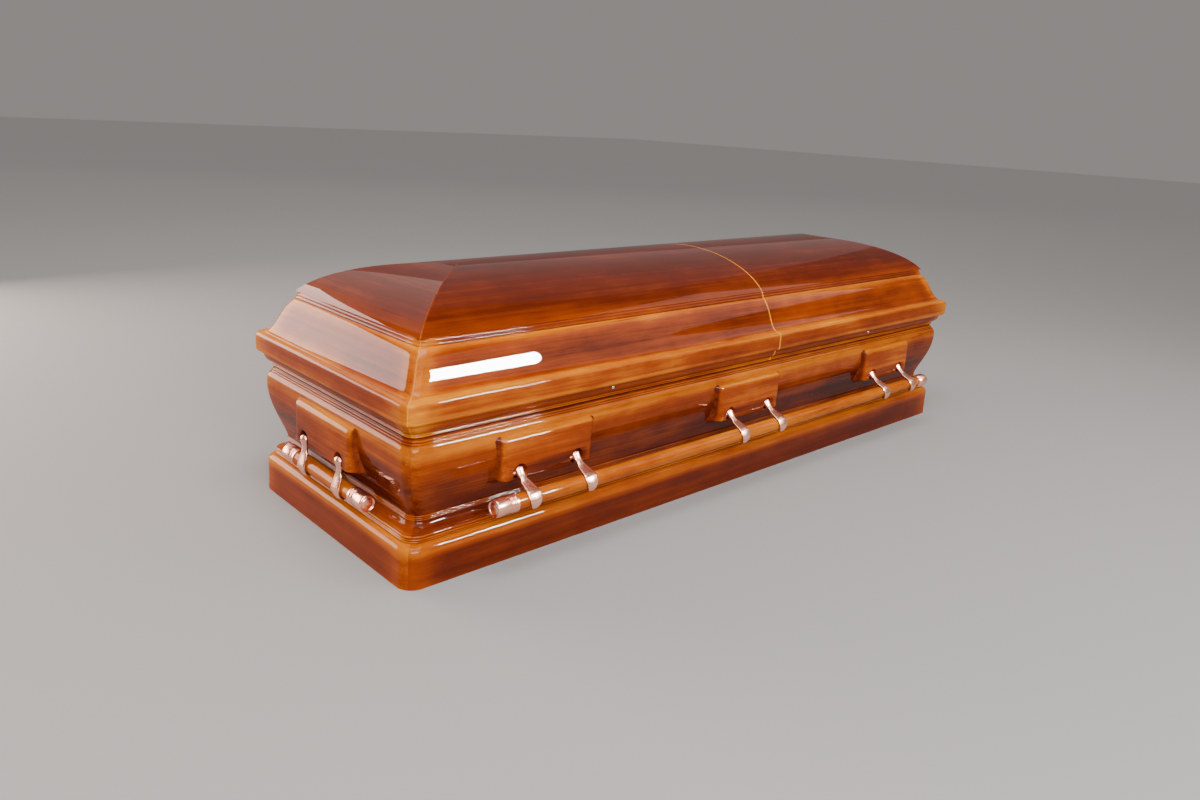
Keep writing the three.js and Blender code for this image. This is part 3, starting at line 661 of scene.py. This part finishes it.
def round_bar(name, radii, places, sides, axis, start, tone=0.0):
    """A turned shape: a circle of each radius at each place along an axis from a start."""
    angle = np.linspace(0, 2 * math.pi, sides, endpoint=False)
    axis = np.array(axis, float)
    across = np.array([axis[2], axis[0], axis[1]])
    upward = np.cross(axis, across)
    circle = np.cos(angle)[:, None] * across + np.sin(angle)[:, None] * upward
    radii = np.array(radii)[:, None, None]
    places = np.array(places)[:, None, None]
    loops = np.array(start) + places * axis + radii * circle
    return solid(name, loops, np.full(loops.shape[:2], tone))


def cut(piece, cutter):
    """Cuts one piece with another, which then goes."""
    modifier = piece.modifiers.new("cut", "BOOLEAN")
    modifier.operation = "DIFFERENCE"
    modifier.solver = "EXACT"
    modifier.object = cutter
    bpy.context.view_layer.update()
    evaluated = piece.evaluated_get(bpy.context.evaluated_depsgraph_get())
    mesh = bpy.data.meshes.new_from_object(evaluated)
    piece.modifiers.clear()
    piece.data = mesh
    bpy.data.objects.remove(cutter)
    smooth(mesh)


def handle_block(name, side, centre):
    """A block with its two sockets, whose mouths are eased by a small flare."""
    block = solid(name, *block_loops(side, centre))
    for shift in (-ARM_SPACING / 2, ARM_SPACING / 2):
        face = side["half_out"] - BLOCK_FACE_INSET
        mouth = place_on(side, centre + shift, face, SOCKET_Z)
        axis = (side["out"][0], side["out"][1], 0)
        wide = SOCKET_RADIUS + SOCKET_LIP
        radii = [0, SOCKET_RADIUS, SOCKET_RADIUS, wide, wide]
        places = [-SOCKET_DEPTH, -SOCKET_DEPTH, -SOCKET_LIP, 0.0, CUTTER_LENGTH]
        cut(block, round_bar("socket_cutter", radii, places, 48, axis, mouth))
    return block


def place_on(side, along, out, z):
    """A point beside one side of the coffin, from its place along and out of that side."""
    ax, ay = side["along"]
    ox, oy = side["out"]
    return (ax * along + ox * out, ay * along + oy * out, z)


block_wood = {
    side: lacquered_wood(f"block_wood_{side}", side in ENDS, (0.15, 0.33, 0.05), 0.03)
    for side in SIDES
}
outer_block = (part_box("front_head_block")[0].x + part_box("front_head_block")[1].x) / 2
SIDE_CENTRES = {"foot": -outer_block, "middle": 0.0, "head": outer_block}
for name in ("front", "back"):
    for where, centre in SIDE_CENTRES.items():
        block = handle_block(f"{name}_{where}_shaped_block", SIDES[name], centre)
        dress(block, [f"{name}_{where}_block"], block_wood[name])
for name in ENDS:
    block = handle_block(f"{name}_end_shaped_block", SIDES[name], 0.0)
    dress(block, [f"{name}_end_block"], block_wood[name])


# Arms of the handles
# Cast and copper-plated arms: a ball on a cross pin in the socket, a slim neck that widens to
# a leaf round the outside of the bar, and a beaked lip that curls under it.
PIVOT_INSET = 0.011
PIVOT_Z = 0.1975
ARM_REACH = 0.061
BAR_RADIUS = 0.017
BALL_RADIUS = 0.0103
BALL_HALF_WIDTH = 0.0128
BALL_PLACE = (-0.004, 0.006)
BALL_LEVELS = 12
BALL_TOP = 0.42
HOOK_START = math.pi / 3
HOOK_STEP = math.pi * 5 / 24
HOOK_RADIUS = 0.01827
TRUNNION_RADIUS = 0.004
TRUNNION_LENGTH = 0.031
PIN_EASE = 0.0012
ARM_CORNERS = 28
RIB_HEIGHT = 0.0011
RIB_SPREAD = 0.3
SIDE_SWING = math.radians(46.5)
END_SWING = math.radians(-4)


def polished_copper(name):
    """Copper plate with a satin polish and a faint cloud of tarnish."""
    material, shader, place = new_material(name)
    cloud = place.noise(30.0, 2.0)
    colour = cloud.between((0.98, 0.44, 0.30, 1), (1.0, 0.54, 0.40, 1))
    feed(shader, {"Base Color": colour, "Metallic": 1.0, "Roughness": 0.20 + cloud * 0.08})
    return material


def arm_rows():
    """Rows of (reach, out, direction, half thickness, half width) down the arm. The ball is
    half a circle's heights, and the hook's rings turn round the bar in even steps."""
    level = np.sin(np.linspace(-math.pi / 2, BALL_TOP, BALL_LEVELS))
    share = np.sqrt(1 - level**2)
    ball = [
        (BALL_PLACE[0] + BALL_RADIUS * s, BALL_PLACE[1], 0, BALL_RADIUS * c, BALL_HALF_WIDTH * c)
        for s, c in zip(level, share)
    ]
    neck = [
        (0.0085, 0.0066, 0.05, 0.0070, 0.0100),
        (0.0150, 0.0075, 0.12, 0.0055, 0.0090),
        (0.0230, 0.0090, 0.22, 0.0047, 0.0104),
        (0.0310, 0.0108, 0.34, 0.0043, 0.0136),
    ]
    thickness = (0.0070, 0.0064, 0.0062, 0.0070, 0.0082, 0.0070, 0.0026)
    width = (0.0160, 0.0169, 0.0170, 0.0152, 0.0108, 0.0066, 0.0028)
    turns = (0.0, 0.5, 1.0, 2.0, 2.85, 3.4, 4.0)
    hook = []
    for turn, thick, wide in zip(turns, thickness, width):
        angle = HOOK_START + turn * HOOK_STEP
        radius = HOOK_RADIUS + thick / 2
        reach = ARM_REACH - radius * math.cos(angle)
        hook.append((reach, radius * math.sin(angle), math.pi / 2 - angle, thick / 2, wide))
    return ball, neck + hook


def flowing(rows, steps):
    """Rows between given rows, by the Catmull-Rom formula on each column."""
    rows = np.array(rows, float)
    padded = np.vstack([2 * rows[0] - rows[1], rows, 2 * rows[-1] - rows[-2]])
    before, start, end, after = padded[:-3], padded[1:-2], padded[2:-1], padded[3:]
    t = np.linspace(0, 1, steps, endpoint=False)[None, :, None]
    b, s, e, a = (part[:, None, :] for part in (before, start, end, after))
    curve = 0.5 * (2 * s + (e - b) * t + (2 * b - 5 * s + 4 * e - a) * t**2)
    curve = curve + 0.5 * (3 * s - b - 3 * e + a) * t**3
    return np.vstack([curve.reshape(-1, rows.shape[1]), rows[-1:]])


def swung(side, along, reach, out, swing):
    """Places in the arm's plane, turned about the pivot and put beside their side."""
    outward = reach * math.sin(swing) + out * math.cos(swing)
    down = reach * math.cos(swing) - out * math.sin(swing)
    ax, ay = side["along"]
    ox, oy = side["out"]
    beside = side["half_out"] - PIVOT_INSET + outward
    return np.stack([ax * along + ox * beside, ay * along + oy * beside, PIVOT_Z - down], axis=-1)


def arm_mesh(name, side, along, swing):
    """The arm as rings of a rounded rectangle, whose outer face falls away on both sides of
    a rib along its middle."""
    ball, rest = arm_rows()
    rows = np.vstack([np.array(ball), flowing([ball[-1], *rest], 5)[1:]])
    reach, out, direction, thick, wide = (rows[:, i][:, None] for i in range(5))
    angle = np.linspace(0, 2 * math.pi, ARM_CORNERS, endpoint=False)[None, :]
    grown = np.clip((np.arange(len(rows)) - len(ball)) / 6, 0, 1)[:, None]
    square = 1 - 0.35 * grown
    across = wide * np.sign(np.cos(angle)) * np.abs(np.cos(angle)) ** square
    through = thick * np.sign(np.sin(angle)) * np.abs(np.sin(angle)) ** square
    from_middle = across / (RIB_SPREAD * np.maximum(wide, 1e-4))
    rib = grown * RIB_HEIGHT * (np.exp(-(from_middle**2)) - 1)
    through = through + np.where(np.sin(angle) > 0, rib, 0)
    where = swung(
        side,
        along + across,
        reach - through * np.sin(direction),
        out + through * np.cos(direction),
        swing,
    )
    return solid(name, where, np.zeros(where.shape[:2]))


def join(name, pieces):
    """One piece made of several closed shells."""
    shape = bmesh.new()
    for piece in pieces:
        shape.from_mesh(piece.data)
        bpy.data.objects.remove(piece)
    mesh = bpy.data.meshes.new(name)
    shape.to_mesh(mesh)
    shape.free()
    return placed(name, mesh)


def handle_arm(name, side, along, swing):
    """An arm and the cross pin that it swings on, whose ends are chamfered."""
    body = arm_mesh(name, side, along, swing)
    half = TRUNNION_LENGTH / 2
    tip = TRUNNION_RADIUS * 0.7
    radii = [0, tip, TRUNNION_RADIUS, TRUNNION_RADIUS, tip, 0]
    places = [-half, -half, -half + PIN_EASE, half - PIN_EASE, half, half]
    start = place_on(side, along, side["half_out"] - PIVOT_INSET, PIVOT_Z)
    axis = (side["along"][0], side["along"][1], 0)
    pin = round_bar(f"{name}_pin", radii, places, 20, axis, start)
    return join(name, [body, pin])


copper = polished_copper("polished_copper")


# Bars and caps
# A turned wooden bar runs through the hooks of each handle's arms, with a copper cap pressed
# on each end. The cap has two turned grooves at its mouth and a low dome on its end.
BAR_EASE = 0.001
BAR_TONE = 0.45
CAP_RADIUS = 0.0197
CAP_MOUTH = 0.0008
COLLAR_LENGTH = 0.0200
GROOVE_PLACES = (0.0085, 0.0175)
GROOVE_WIDTH = 0.0020
GROOVE_DEPTH = 0.0023
RIM_ROUND = 0.004
DOME_RADIUS = 0.0132
DOME_HEIGHT = 0.0030
bar_wood = {
    side: lacquered_wood(f"bar_wood_{side}", side in ENDS, (0.45, 0.22, 0.37), -0.06)
    for side in SIDES
}


def cap_profile():
    """(radius, place) from the open end to the closed one: a collar with two bell-shaped
    grooves, a plain barrel, a quarter-round rim, a fine groove and a low dome."""
    place = np.linspace(0.0, COLLAR_LENGTH, 61)
    dips = (np.exp(-(((place - middle) / GROOVE_WIDTH) ** 2)) for middle in GROOVE_PLACES)
    collar = CAP_RADIUS - 0.0002 - GROOVE_DEPTH * sum(dips)
    rows = [(BAR_RADIUS + CAP_MOUTH, 0.0), *zip(collar, place + 0.0004)]
    rows += [(CAP_RADIUS, 0.0216), (CAP_RADIUS, 0.0480)]
    turn = np.linspace(0, math.pi / 2, 8)
    flat = CAP_RADIUS - RIM_ROUND
    rows += [*zip(flat + RIM_ROUND * np.cos(turn), 0.0510 + 0.0042 * np.sin(turn))]
    rows += [(0.0146, 0.0544), (0.0141, 0.0532), (0.0136, 0.0529)]
    rows += [*zip(DOME_RADIUS * np.cos(turn), 0.0530 + DOME_HEIGHT * np.sin(turn))]
    return rows


def swing_handle(name, swing):
    """A bar, its two caps and its arms, on one side of the coffin."""
    side = SIDES[name]
    low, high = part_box(f"{name}_bar")
    lengthwise = 0 if side["along"][0] else 1
    half = (high[lengthwise] - low[lengthwise]) / 2
    centre = (np.array(low) + np.array(high)) / 2
    axis = np.array((side["along"][0], side["along"][1], 0.0))
    tip = BAR_RADIUS - BAR_EASE
    radii = [0, tip, BAR_RADIUS, BAR_RADIUS, tip, 0]
    places = [-half, -half, -half + BAR_EASE, half - BAR_EASE, half, half]
    bar = round_bar(f"{name}_turned_bar", radii, places, 40, axis, centre, BAR_TONE)
    dress(bar, [f"{name}_bar"], bar_wood[name])
    caps = [n for n in frame["nodes"] if n.startswith(f"{name}_bar_") and n.endswith("_cap")]
    for node in caps:
        cap_low, cap_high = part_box(node)
        end = 1 if (cap_low[lengthwise] + cap_high[lengthwise]) > 0 else -1
        start = centre.copy()
        start[lengthwise] = cap_low[lengthwise] if end > 0 else cap_high[lengthwise]
        radii, places = zip(*cap_profile())
        cap = round_bar(f"{node}_ribbed", (0, *radii), (0, *places), 48, end * axis, start)
        dress(cap, [node], copper)
    arms = [n for n in frame["nodes"] if n.startswith(f"{name}_arm_")]
    for node in arms:
        arm_low, arm_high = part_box(node)
        along = (arm_low[lengthwise] + arm_high[lengthwise]) / 2
        arm = handle_arm(f"{node}_cast", side, along, swing)
        dress(arm, [node], copper)


for name in SIDES:
    swing_handle(name, END_SWING if name in ENDS else SIDE_SWING)


# Rim of the lid
# Each half of the lid has a heavy moulding on three sides: reeds and an ovolo over the
# parting, an upright band, and an ogee that leans in to two reeds at the neck.
LID_LOW, RIM_TOP = (corner.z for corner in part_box("foot_lid_front_rim"))
LIP_Z = LID_LOW + 0.0027
OVOLO_Z = LIP_Z + 0.031
UPRIGHT_Z = OVOLO_Z + 0.012
SHELF_Z = UPRIGHT_Z + 0.040
NECK_Z = SHELF_Z + 0.085
NECK_INSET = 0.070
RIM_RADIUS = 0.026
PAD_INSET = 0.036
PAD_BACK = 0.052
LID_THICKNESS = 0.020
RIM_CORNER_PALING = 0.55
RIM_EASE = 0.0005
OGEE_STEPS = 30
rim_wood = {
    side: lacquered_wood(
        f"rim_wood_{side}", side in ENDS, (0.9, 0.51, 0.14), 0.0, seams=True
    )
    for side in SIDES
}
ogee = bend(
    (0.0155, SHELF_Z + 0.0004, 0.7, RIM_RADIUS),
    (NECK_INSET - 0.001, NECK_Z, 0.7, RIM_RADIUS),
    (0.43, 0.1), (0.46, 0.67), OGEE_STEPS,
)
# Along the rim the tone is golden on the rolls and dark on the ovolo, the shelf and the ogee's
# hollow: partly toner, partly painted light on the rolls and painted shade in the hollows.
ogee[:, 2] = 0.12 + 0.65 * np.abs(np.linspace(-1, 1, OGEE_STEPS + 1)) ** 3
rim_profile = np.vstack([
    run((PAD_INSET, LIP_Z, 0.0, RIM_RADIUS)),
    reeds(
        (0.0300, LIP_Z, 0.1, RIM_RADIUS),
        (0.0278, LIP_Z + 0.0095, 0.1, RIM_RADIUS),
        2, 0.0013, 0.6,
    ),
    bend(
        (0.0268, LIP_Z + 0.0098, 0.2, RIM_RADIUS),
        (0.0135, OVOLO_Z, 0.15, RIM_RADIUS),
        (0.55, 0.1), (1, 0.5), 14,
    ),
    bend(
        (0.0128, OVOLO_Z + 0.0003, 0.3, RIM_RADIUS),
        (0.0006, UPRIGHT_Z - 0.0006, 0.7, RIM_RADIUS),
        (0.6, 0.15), (1, 0.4), 10,
    ),
    run((0.0, UPRIGHT_Z, 0.7, RIM_RADIUS), (0.0, UPRIGHT_Z + 0.008, 0.25, RIM_RADIUS)),
    bend(
        (0.0, UPRIGHT_Z + 0.030, 0.45, RIM_RADIUS),
        (0.0138, SHELF_Z, 0.9, RIM_RADIUS),
        (0, 0.7), (0.4, 0.9), 12,
    ),
    run((0.0146, SHELF_Z - 0.0008, 0.0, RIM_RADIUS)),
    ogee,
    reeds(
        (NECK_INSET + 0.0008, NECK_Z + 0.0006, 0.0, RIM_RADIUS),
        (NECK_INSET + 0.0062, RIM_TOP - 0.0006, 0.0, RIM_RADIUS),
        2, 0.0014, 0.15,
    ),
    run(
        (NECK_INSET + 0.0068, RIM_TOP, 0.0, RIM_RADIUS),
        (NECK_INSET + 0.023, RIM_TOP, INSIDE, INNER_RADIUS),
    ),
    bend(
        (NECK_INSET + LID_THICKNESS, NECK_Z, INSIDE, INNER_RADIUS),
        (LID_THICKNESS, SHELF_Z - 0.014, INSIDE, INNER_RADIUS),
        (0.54, 0.33), (0.57, 0.9), 12,
    ),
    run(
        (LID_THICKNESS, UPRIGHT_Z, INSIDE, INNER_RADIUS),
        (PAD_BACK, LIP_Z + 0.0103, INSIDE, INNER_RADIUS),
        (PAD_BACK, LID_LOW, INSIDE, INNER_RADIUS),
        (PAD_INSET, LID_LOW, INSIDE, RIM_RADIUS),
    ),
])
HALVES = {
    "foot": (None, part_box("foot_lid_crown")[1].x),
    "head": (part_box("head_lid_crown")[0].x, None),
}
for half, (start, end) in HALVES.items():
    for name in ("front", "back"):
        title = f"{half}_lid_{name}_moulding"
        rim = moulding(title, rim_profile, SIDES[name], RIM_CORNER_PALING, start, end)
        ease_edges(rim, RIM_EASE)
        dress(rim, [f"{half}_lid_{name}_rim"], rim_wood[name])
    rim = moulding(f"{half}_lid_end_moulding", rim_profile, SIDES[half], RIM_CORNER_PALING)
    ease_edges(rim, RIM_EASE)
    dress(rim, [f"{half}_lid_end_rim"], rim_wood[half])


# Crown of the lid
# A barrel of bent boards with a hip mitred on at each end. The mitres and the sawn parting
# are rubbed through to the paler wood, and the parting also carries a painted highlight.
CROWN_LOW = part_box("foot_lid_crown")[0].z
RIDGE_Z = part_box("foot_lid_crown")[1].z
CROWN_FOOT = 0.076
CROWN_THICKNESS = 0.017
CROWN_EASE = 0.0008
CROWN_STEPS = 40
crown_wood = {
    turned: lacquered_wood(
        f"crown_wood_{turned}", turned == "across", (0.25, 0.6, 0.4), 0.11, calm=0.4, seams=True
    )
    for turned in ("along", "across")
}
crown_face = bend(
    (CROWN_FOOT, CROWN_LOW, 0.9, 0),
    (RIM_Y, RIDGE_Z, 0.0, 0),
    (0.124, 0.52), (0.52, 1), CROWN_STEPS,
)
steps_up = np.arange(CROWN_STEPS + 1)
# The tone is golden at the crown's rolled foot and fades up the curve: partly toner, partly
# painted light where the foot catches it.
crown_face[:, 2] = 0.25 * np.exp(-steps_up / 2.5) + 0.22 * np.exp(-steps_up / 9.0)
crown_soffit = bend(
    (CROWN_FOOT + CROWN_THICKNESS, CROWN_LOW, INSIDE, 0),
    (RIM_Y, RIDGE_Z - CROWN_THICKNESS, INSIDE, 0),
    (0.124, 0.42), (0.52, 1), 20,
)


def barrel(name, foot_side, split):
    """The crown's curve carried over the ridge and along the coffin, from the hip's mitre,
    where x follows the inset, to the parting."""
    face = np.column_stack([crown_face, crown_face[:, 0] - RIM_Y])
    soffit = np.column_stack([crown_soffit, crown_soffit[:, 0] - RIM_Y])
    mirror = np.array([1, 1, 1, 1, -1])
    over = np.vstack([face, face[-2::-1] * mirror])
    under = np.vstack([soffit, soffit[-2::-1] * mirror])
    section = np.vstack([over, under[::-1]])
    hip_x = foot_side * (RIM_X - section[:, 0] - MITRE_GAP)
    stations = [hip_x, np.full(len(section), split)]
    loops = np.stack([np.column_stack([x, section[:, 4], section[:, 1]]) for x in stations])
    tones = np.stack([section[:, 2]] * 2)
    numbers = np.arange(len(section))
    halves = [numbers[section[:, 4] <= 0].tolist(), numbers[section[:, 4] >= 0].tolist()]
    return solid(name, loops, tones, halves)


def hip(name, side):
    """The same curve carried across the end between two mitres that meet at the ridge."""
    section = np.vstack([crown_face, crown_soffit[::-1]])
    inset = np.minimum(section[:, 0], RIM_Y - MITRE_GAP)
    half = side["half_along"] - inset - MITRE_GAP
    loops = np.stack([
        np.stack(
            [
                side["along"][0] * end * half + side["out"][0] * (side["half_out"] - inset),
                side["along"][1] * end * half + side["out"][1] * (side["half_out"] - inset),
                section[:, 1],
            ],
            axis=-1,
        )
        for end in (-1, 1)
    ])
    return solid(name, loops, np.stack([section[:, 2]] * 2))


for half, (start, end) in HALVES.items():
    foot_side = -1 if half == "foot" else 1
    crown = barrel(f"{half}_lid_barrel", foot_side, end if half == "foot" else start)
    ease_edges(crown, CROWN_EASE)
    dress(crown, [f"{half}_lid_crown"], crown_wood["along"])
    hipped = hip(f"{half}_lid_hipped_end", SIDES[half])
    ease_edges(hipped, CROWN_EASE)
    dress(hipped, [f"{half}_lid_hip"], crown_wood["across"])


# Hinge
# A strip hinge of satin brass is let into the parting groove along the back: one leaf on the
# body and one on each half of the lid.
def satin_brass(name):
    """Brass with fine lengthwise brushing."""
    material, shader, place = new_material(name)
    brushing = place.stretched(0.05, 1, 1).noise(900.0, 2.0, 0.6)
    colour = brushing.between((0.46, 0.28, 0.08, 1), (0.66, 0.44, 0.16, 1))
    feed(shader, {"Base Color": colour, "Metallic": 1.0, "Roughness": 0.26 + brushing * 0.16})
    return material


brass = satin_brass("satin_brass")
for node in ("body_hinge_leaf", "foot_lid_hinge_leaf", "head_lid_hinge_leaf"):
    leaf = frame["nodes"][node]
    leaf.data.materials.clear()
    leaf.data.materials.append(brass)


# Catches
# Each half of the lid has a small chromed button near the middle of its front edge, which is
# pushed to free the lid. It is turned, with an eased rim and a shallow dimple.
BUTTON_RADIUS = 0.004
BUTTON_EASE = 0.0008
DIMPLE_RADIUS = 0.0018
DIMPLE_DEPTH = 0.0006


def bright_chrome(name):
    """Chrome plate with a few faint marks."""
    material, shader, place = new_material(name)
    marks = place.noise(700.0, 2.0, 0.5)
    feed(shader, {
        "Base Color": (0.78, 0.78, 0.80, 1),
        "Metallic": 1.0,
        "Roughness": 0.07 + marks * 0.08,
    })
    return material


chrome = bright_chrome("bright_chrome")
for half in ("foot", "head"):
    low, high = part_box(f"{half}_lid_catch")
    start = ((low.x + high.x) / 2, high.y, (low.z + high.z) / 2)
    length = high.y - low.y
    turn = np.linspace(0, math.pi / 2, 7)
    edge = BUTTON_RADIUS - BUTTON_EASE + BUTTON_EASE * np.cos(turn)
    radii = [0, BUTTON_RADIUS, *edge, DIMPLE_RADIUS, DIMPLE_RADIUS - 0.0002, 0]
    rise = length - BUTTON_EASE + BUTTON_EASE * np.sin(turn)
    places = [0, 0, *rise, length, length - DIMPLE_DEPTH, length - DIMPLE_DEPTH]
    button = round_bar(f"{half}_lid_catch_button", radii, places, 32, (0, -1, 0), start)
    dress(button, [f"{half}_lid_catch"], chrome)


# Studio
# A plain pale floor under soft daylight and softboxes, with a camera at the photograph's
# viewing angle. The panels behind give the pale sheen on the foot end and the ridge.
FLOOR_SIZE = 60.0
bpy.ops.mesh.primitive_plane_add(size=FLOOR_SIZE)
floor = bpy.context.object
floor.name = "studio_floor"
floor_paint, floor_shader, _ = new_material("floor_paint")
feed(floor_shader, {"Base Color": (0.27, 0.262, 0.255, 1), "Roughness": 0.85})
floor.data.materials.append(floor_paint)
floor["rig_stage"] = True

world = bpy.data.worlds.new("studio_air")
world.use_nodes = True
air = world.node_tree.nodes["Background"]
air.inputs["Color"].default_value = (0.66, 0.61, 0.59, 1)
air.inputs["Strength"].default_value = 0.42
bpy.context.scene.world = world


def softbox(name, place, target, width, height, power, color=(1, 1, 1)):
    """An area light at a place, facing a target."""
    light = bpy.data.lights.new(name, "AREA")
    light.shape = "RECTANGLE"
    light.size = width
    light.size_y = height
    light.energy = power
    light.color = color
    lamp = bpy.data.objects.new(name, light)
    lamp.location = place
    lamp.rotation_euler = (Vector(target) - Vector(place)).to_track_quat("-Z", "Y").to_euler()
    bpy.context.scene.collection.objects.link(lamp)
    return lamp


daylight = bpy.data.lights.new("soft_daylight", "SUN")
daylight.energy = 1.7
daylight.angle = math.radians(70)
daylight_lamp = bpy.data.objects.new("soft_daylight", daylight)
daylight_lamp.rotation_euler = (math.radians(22), math.radians(-16), 0)
bpy.context.scene.collection.objects.link(daylight_lamp)

softbox("pale_panel", (-2.8, 3.2, 1.12), (-2.4, 0, 1.12), 2.8, 2.14, 270, (1, 0.80, 0.72))
softbox("upper_panel", (-0.35, 3.9, 3.6), (-0.9, 0, 0.5), 4.6, 2.2, 32, (1, 0.80, 0.74))
softbox("side_panel", (1.6, -1.9, 1.9), (-0.2, -0.35, 0.2), 2.6, 1.4, 24, (1, 0.88, 0.82))
softbox("far_panel", (3.6, 5.6, 5.5), (0, 0, 1.0), 12.0, 7.0, 75, (1, 0.86, 0.84))
strip = softbox("strip_softbox", (0.88, -2.5, 1.54), (0.58, -0.3, 1.20), 0.66, 0.15, 260)
strip.visible_diffuse = False  # it shows in the lacquer and the copper alone
softbox("key_softbox", (-2.2, -3.4, 2.0), (-0.5, 0, 0.3), 2.6, 1.6, 215)
softbox("overhead_softbox", (-1.0, -0.9, 3.8), (-0.6, 0, 0.3), 2.2, 1.2, 70)

PHOTO_WIDTH = 1200
PHOTO_HEIGHT = 800
FOCAL_PIXELS = 914.1
CENTRE_PIXEL = (580.97, 312.46)
AZIMUTH = math.radians(-42.718)
ELEVATION = math.radians(12.101)
ROLL = math.radians(3.197)
DISTANCE = 2.4434
TARGET = Vector((-0.3132, 0, 0.4296))
back = Vector((
    math.sin(AZIMUTH) * math.cos(ELEVATION),
    -math.cos(AZIMUTH) * math.cos(ELEVATION),
    math.sin(ELEVATION),
))
level = (-back).cross(Vector((0, 0, 1))).normalized()
upright = level.cross(-back)
right = math.cos(ROLL) * level + math.sin(ROLL) * upright
top = math.cos(ROLL) * upright - math.sin(ROLL) * level
camera_data = bpy.data.cameras.new("camera")
camera_data.sensor_width = 36.0
camera_data.lens = FOCAL_PIXELS / PHOTO_WIDTH * camera_data.sensor_width
camera_data.shift_x = (PHOTO_WIDTH / 2 - CENTRE_PIXEL[0]) / PHOTO_WIDTH
camera_data.shift_y = (CENTRE_PIXEL[1] - PHOTO_HEIGHT / 2) / PHOTO_WIDTH
camera_data.clip_start = 0.05
camera = bpy.data.objects.new("camera", camera_data)
facing = Matrix((right, top, back)).transposed().to_4x4()
camera.matrix_world = Matrix.Translation(TARGET + back * DISTANCE) @ facing
bpy.context.scene.collection.objects.link(camera)
bpy.context.scene.camera = camera

low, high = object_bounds()
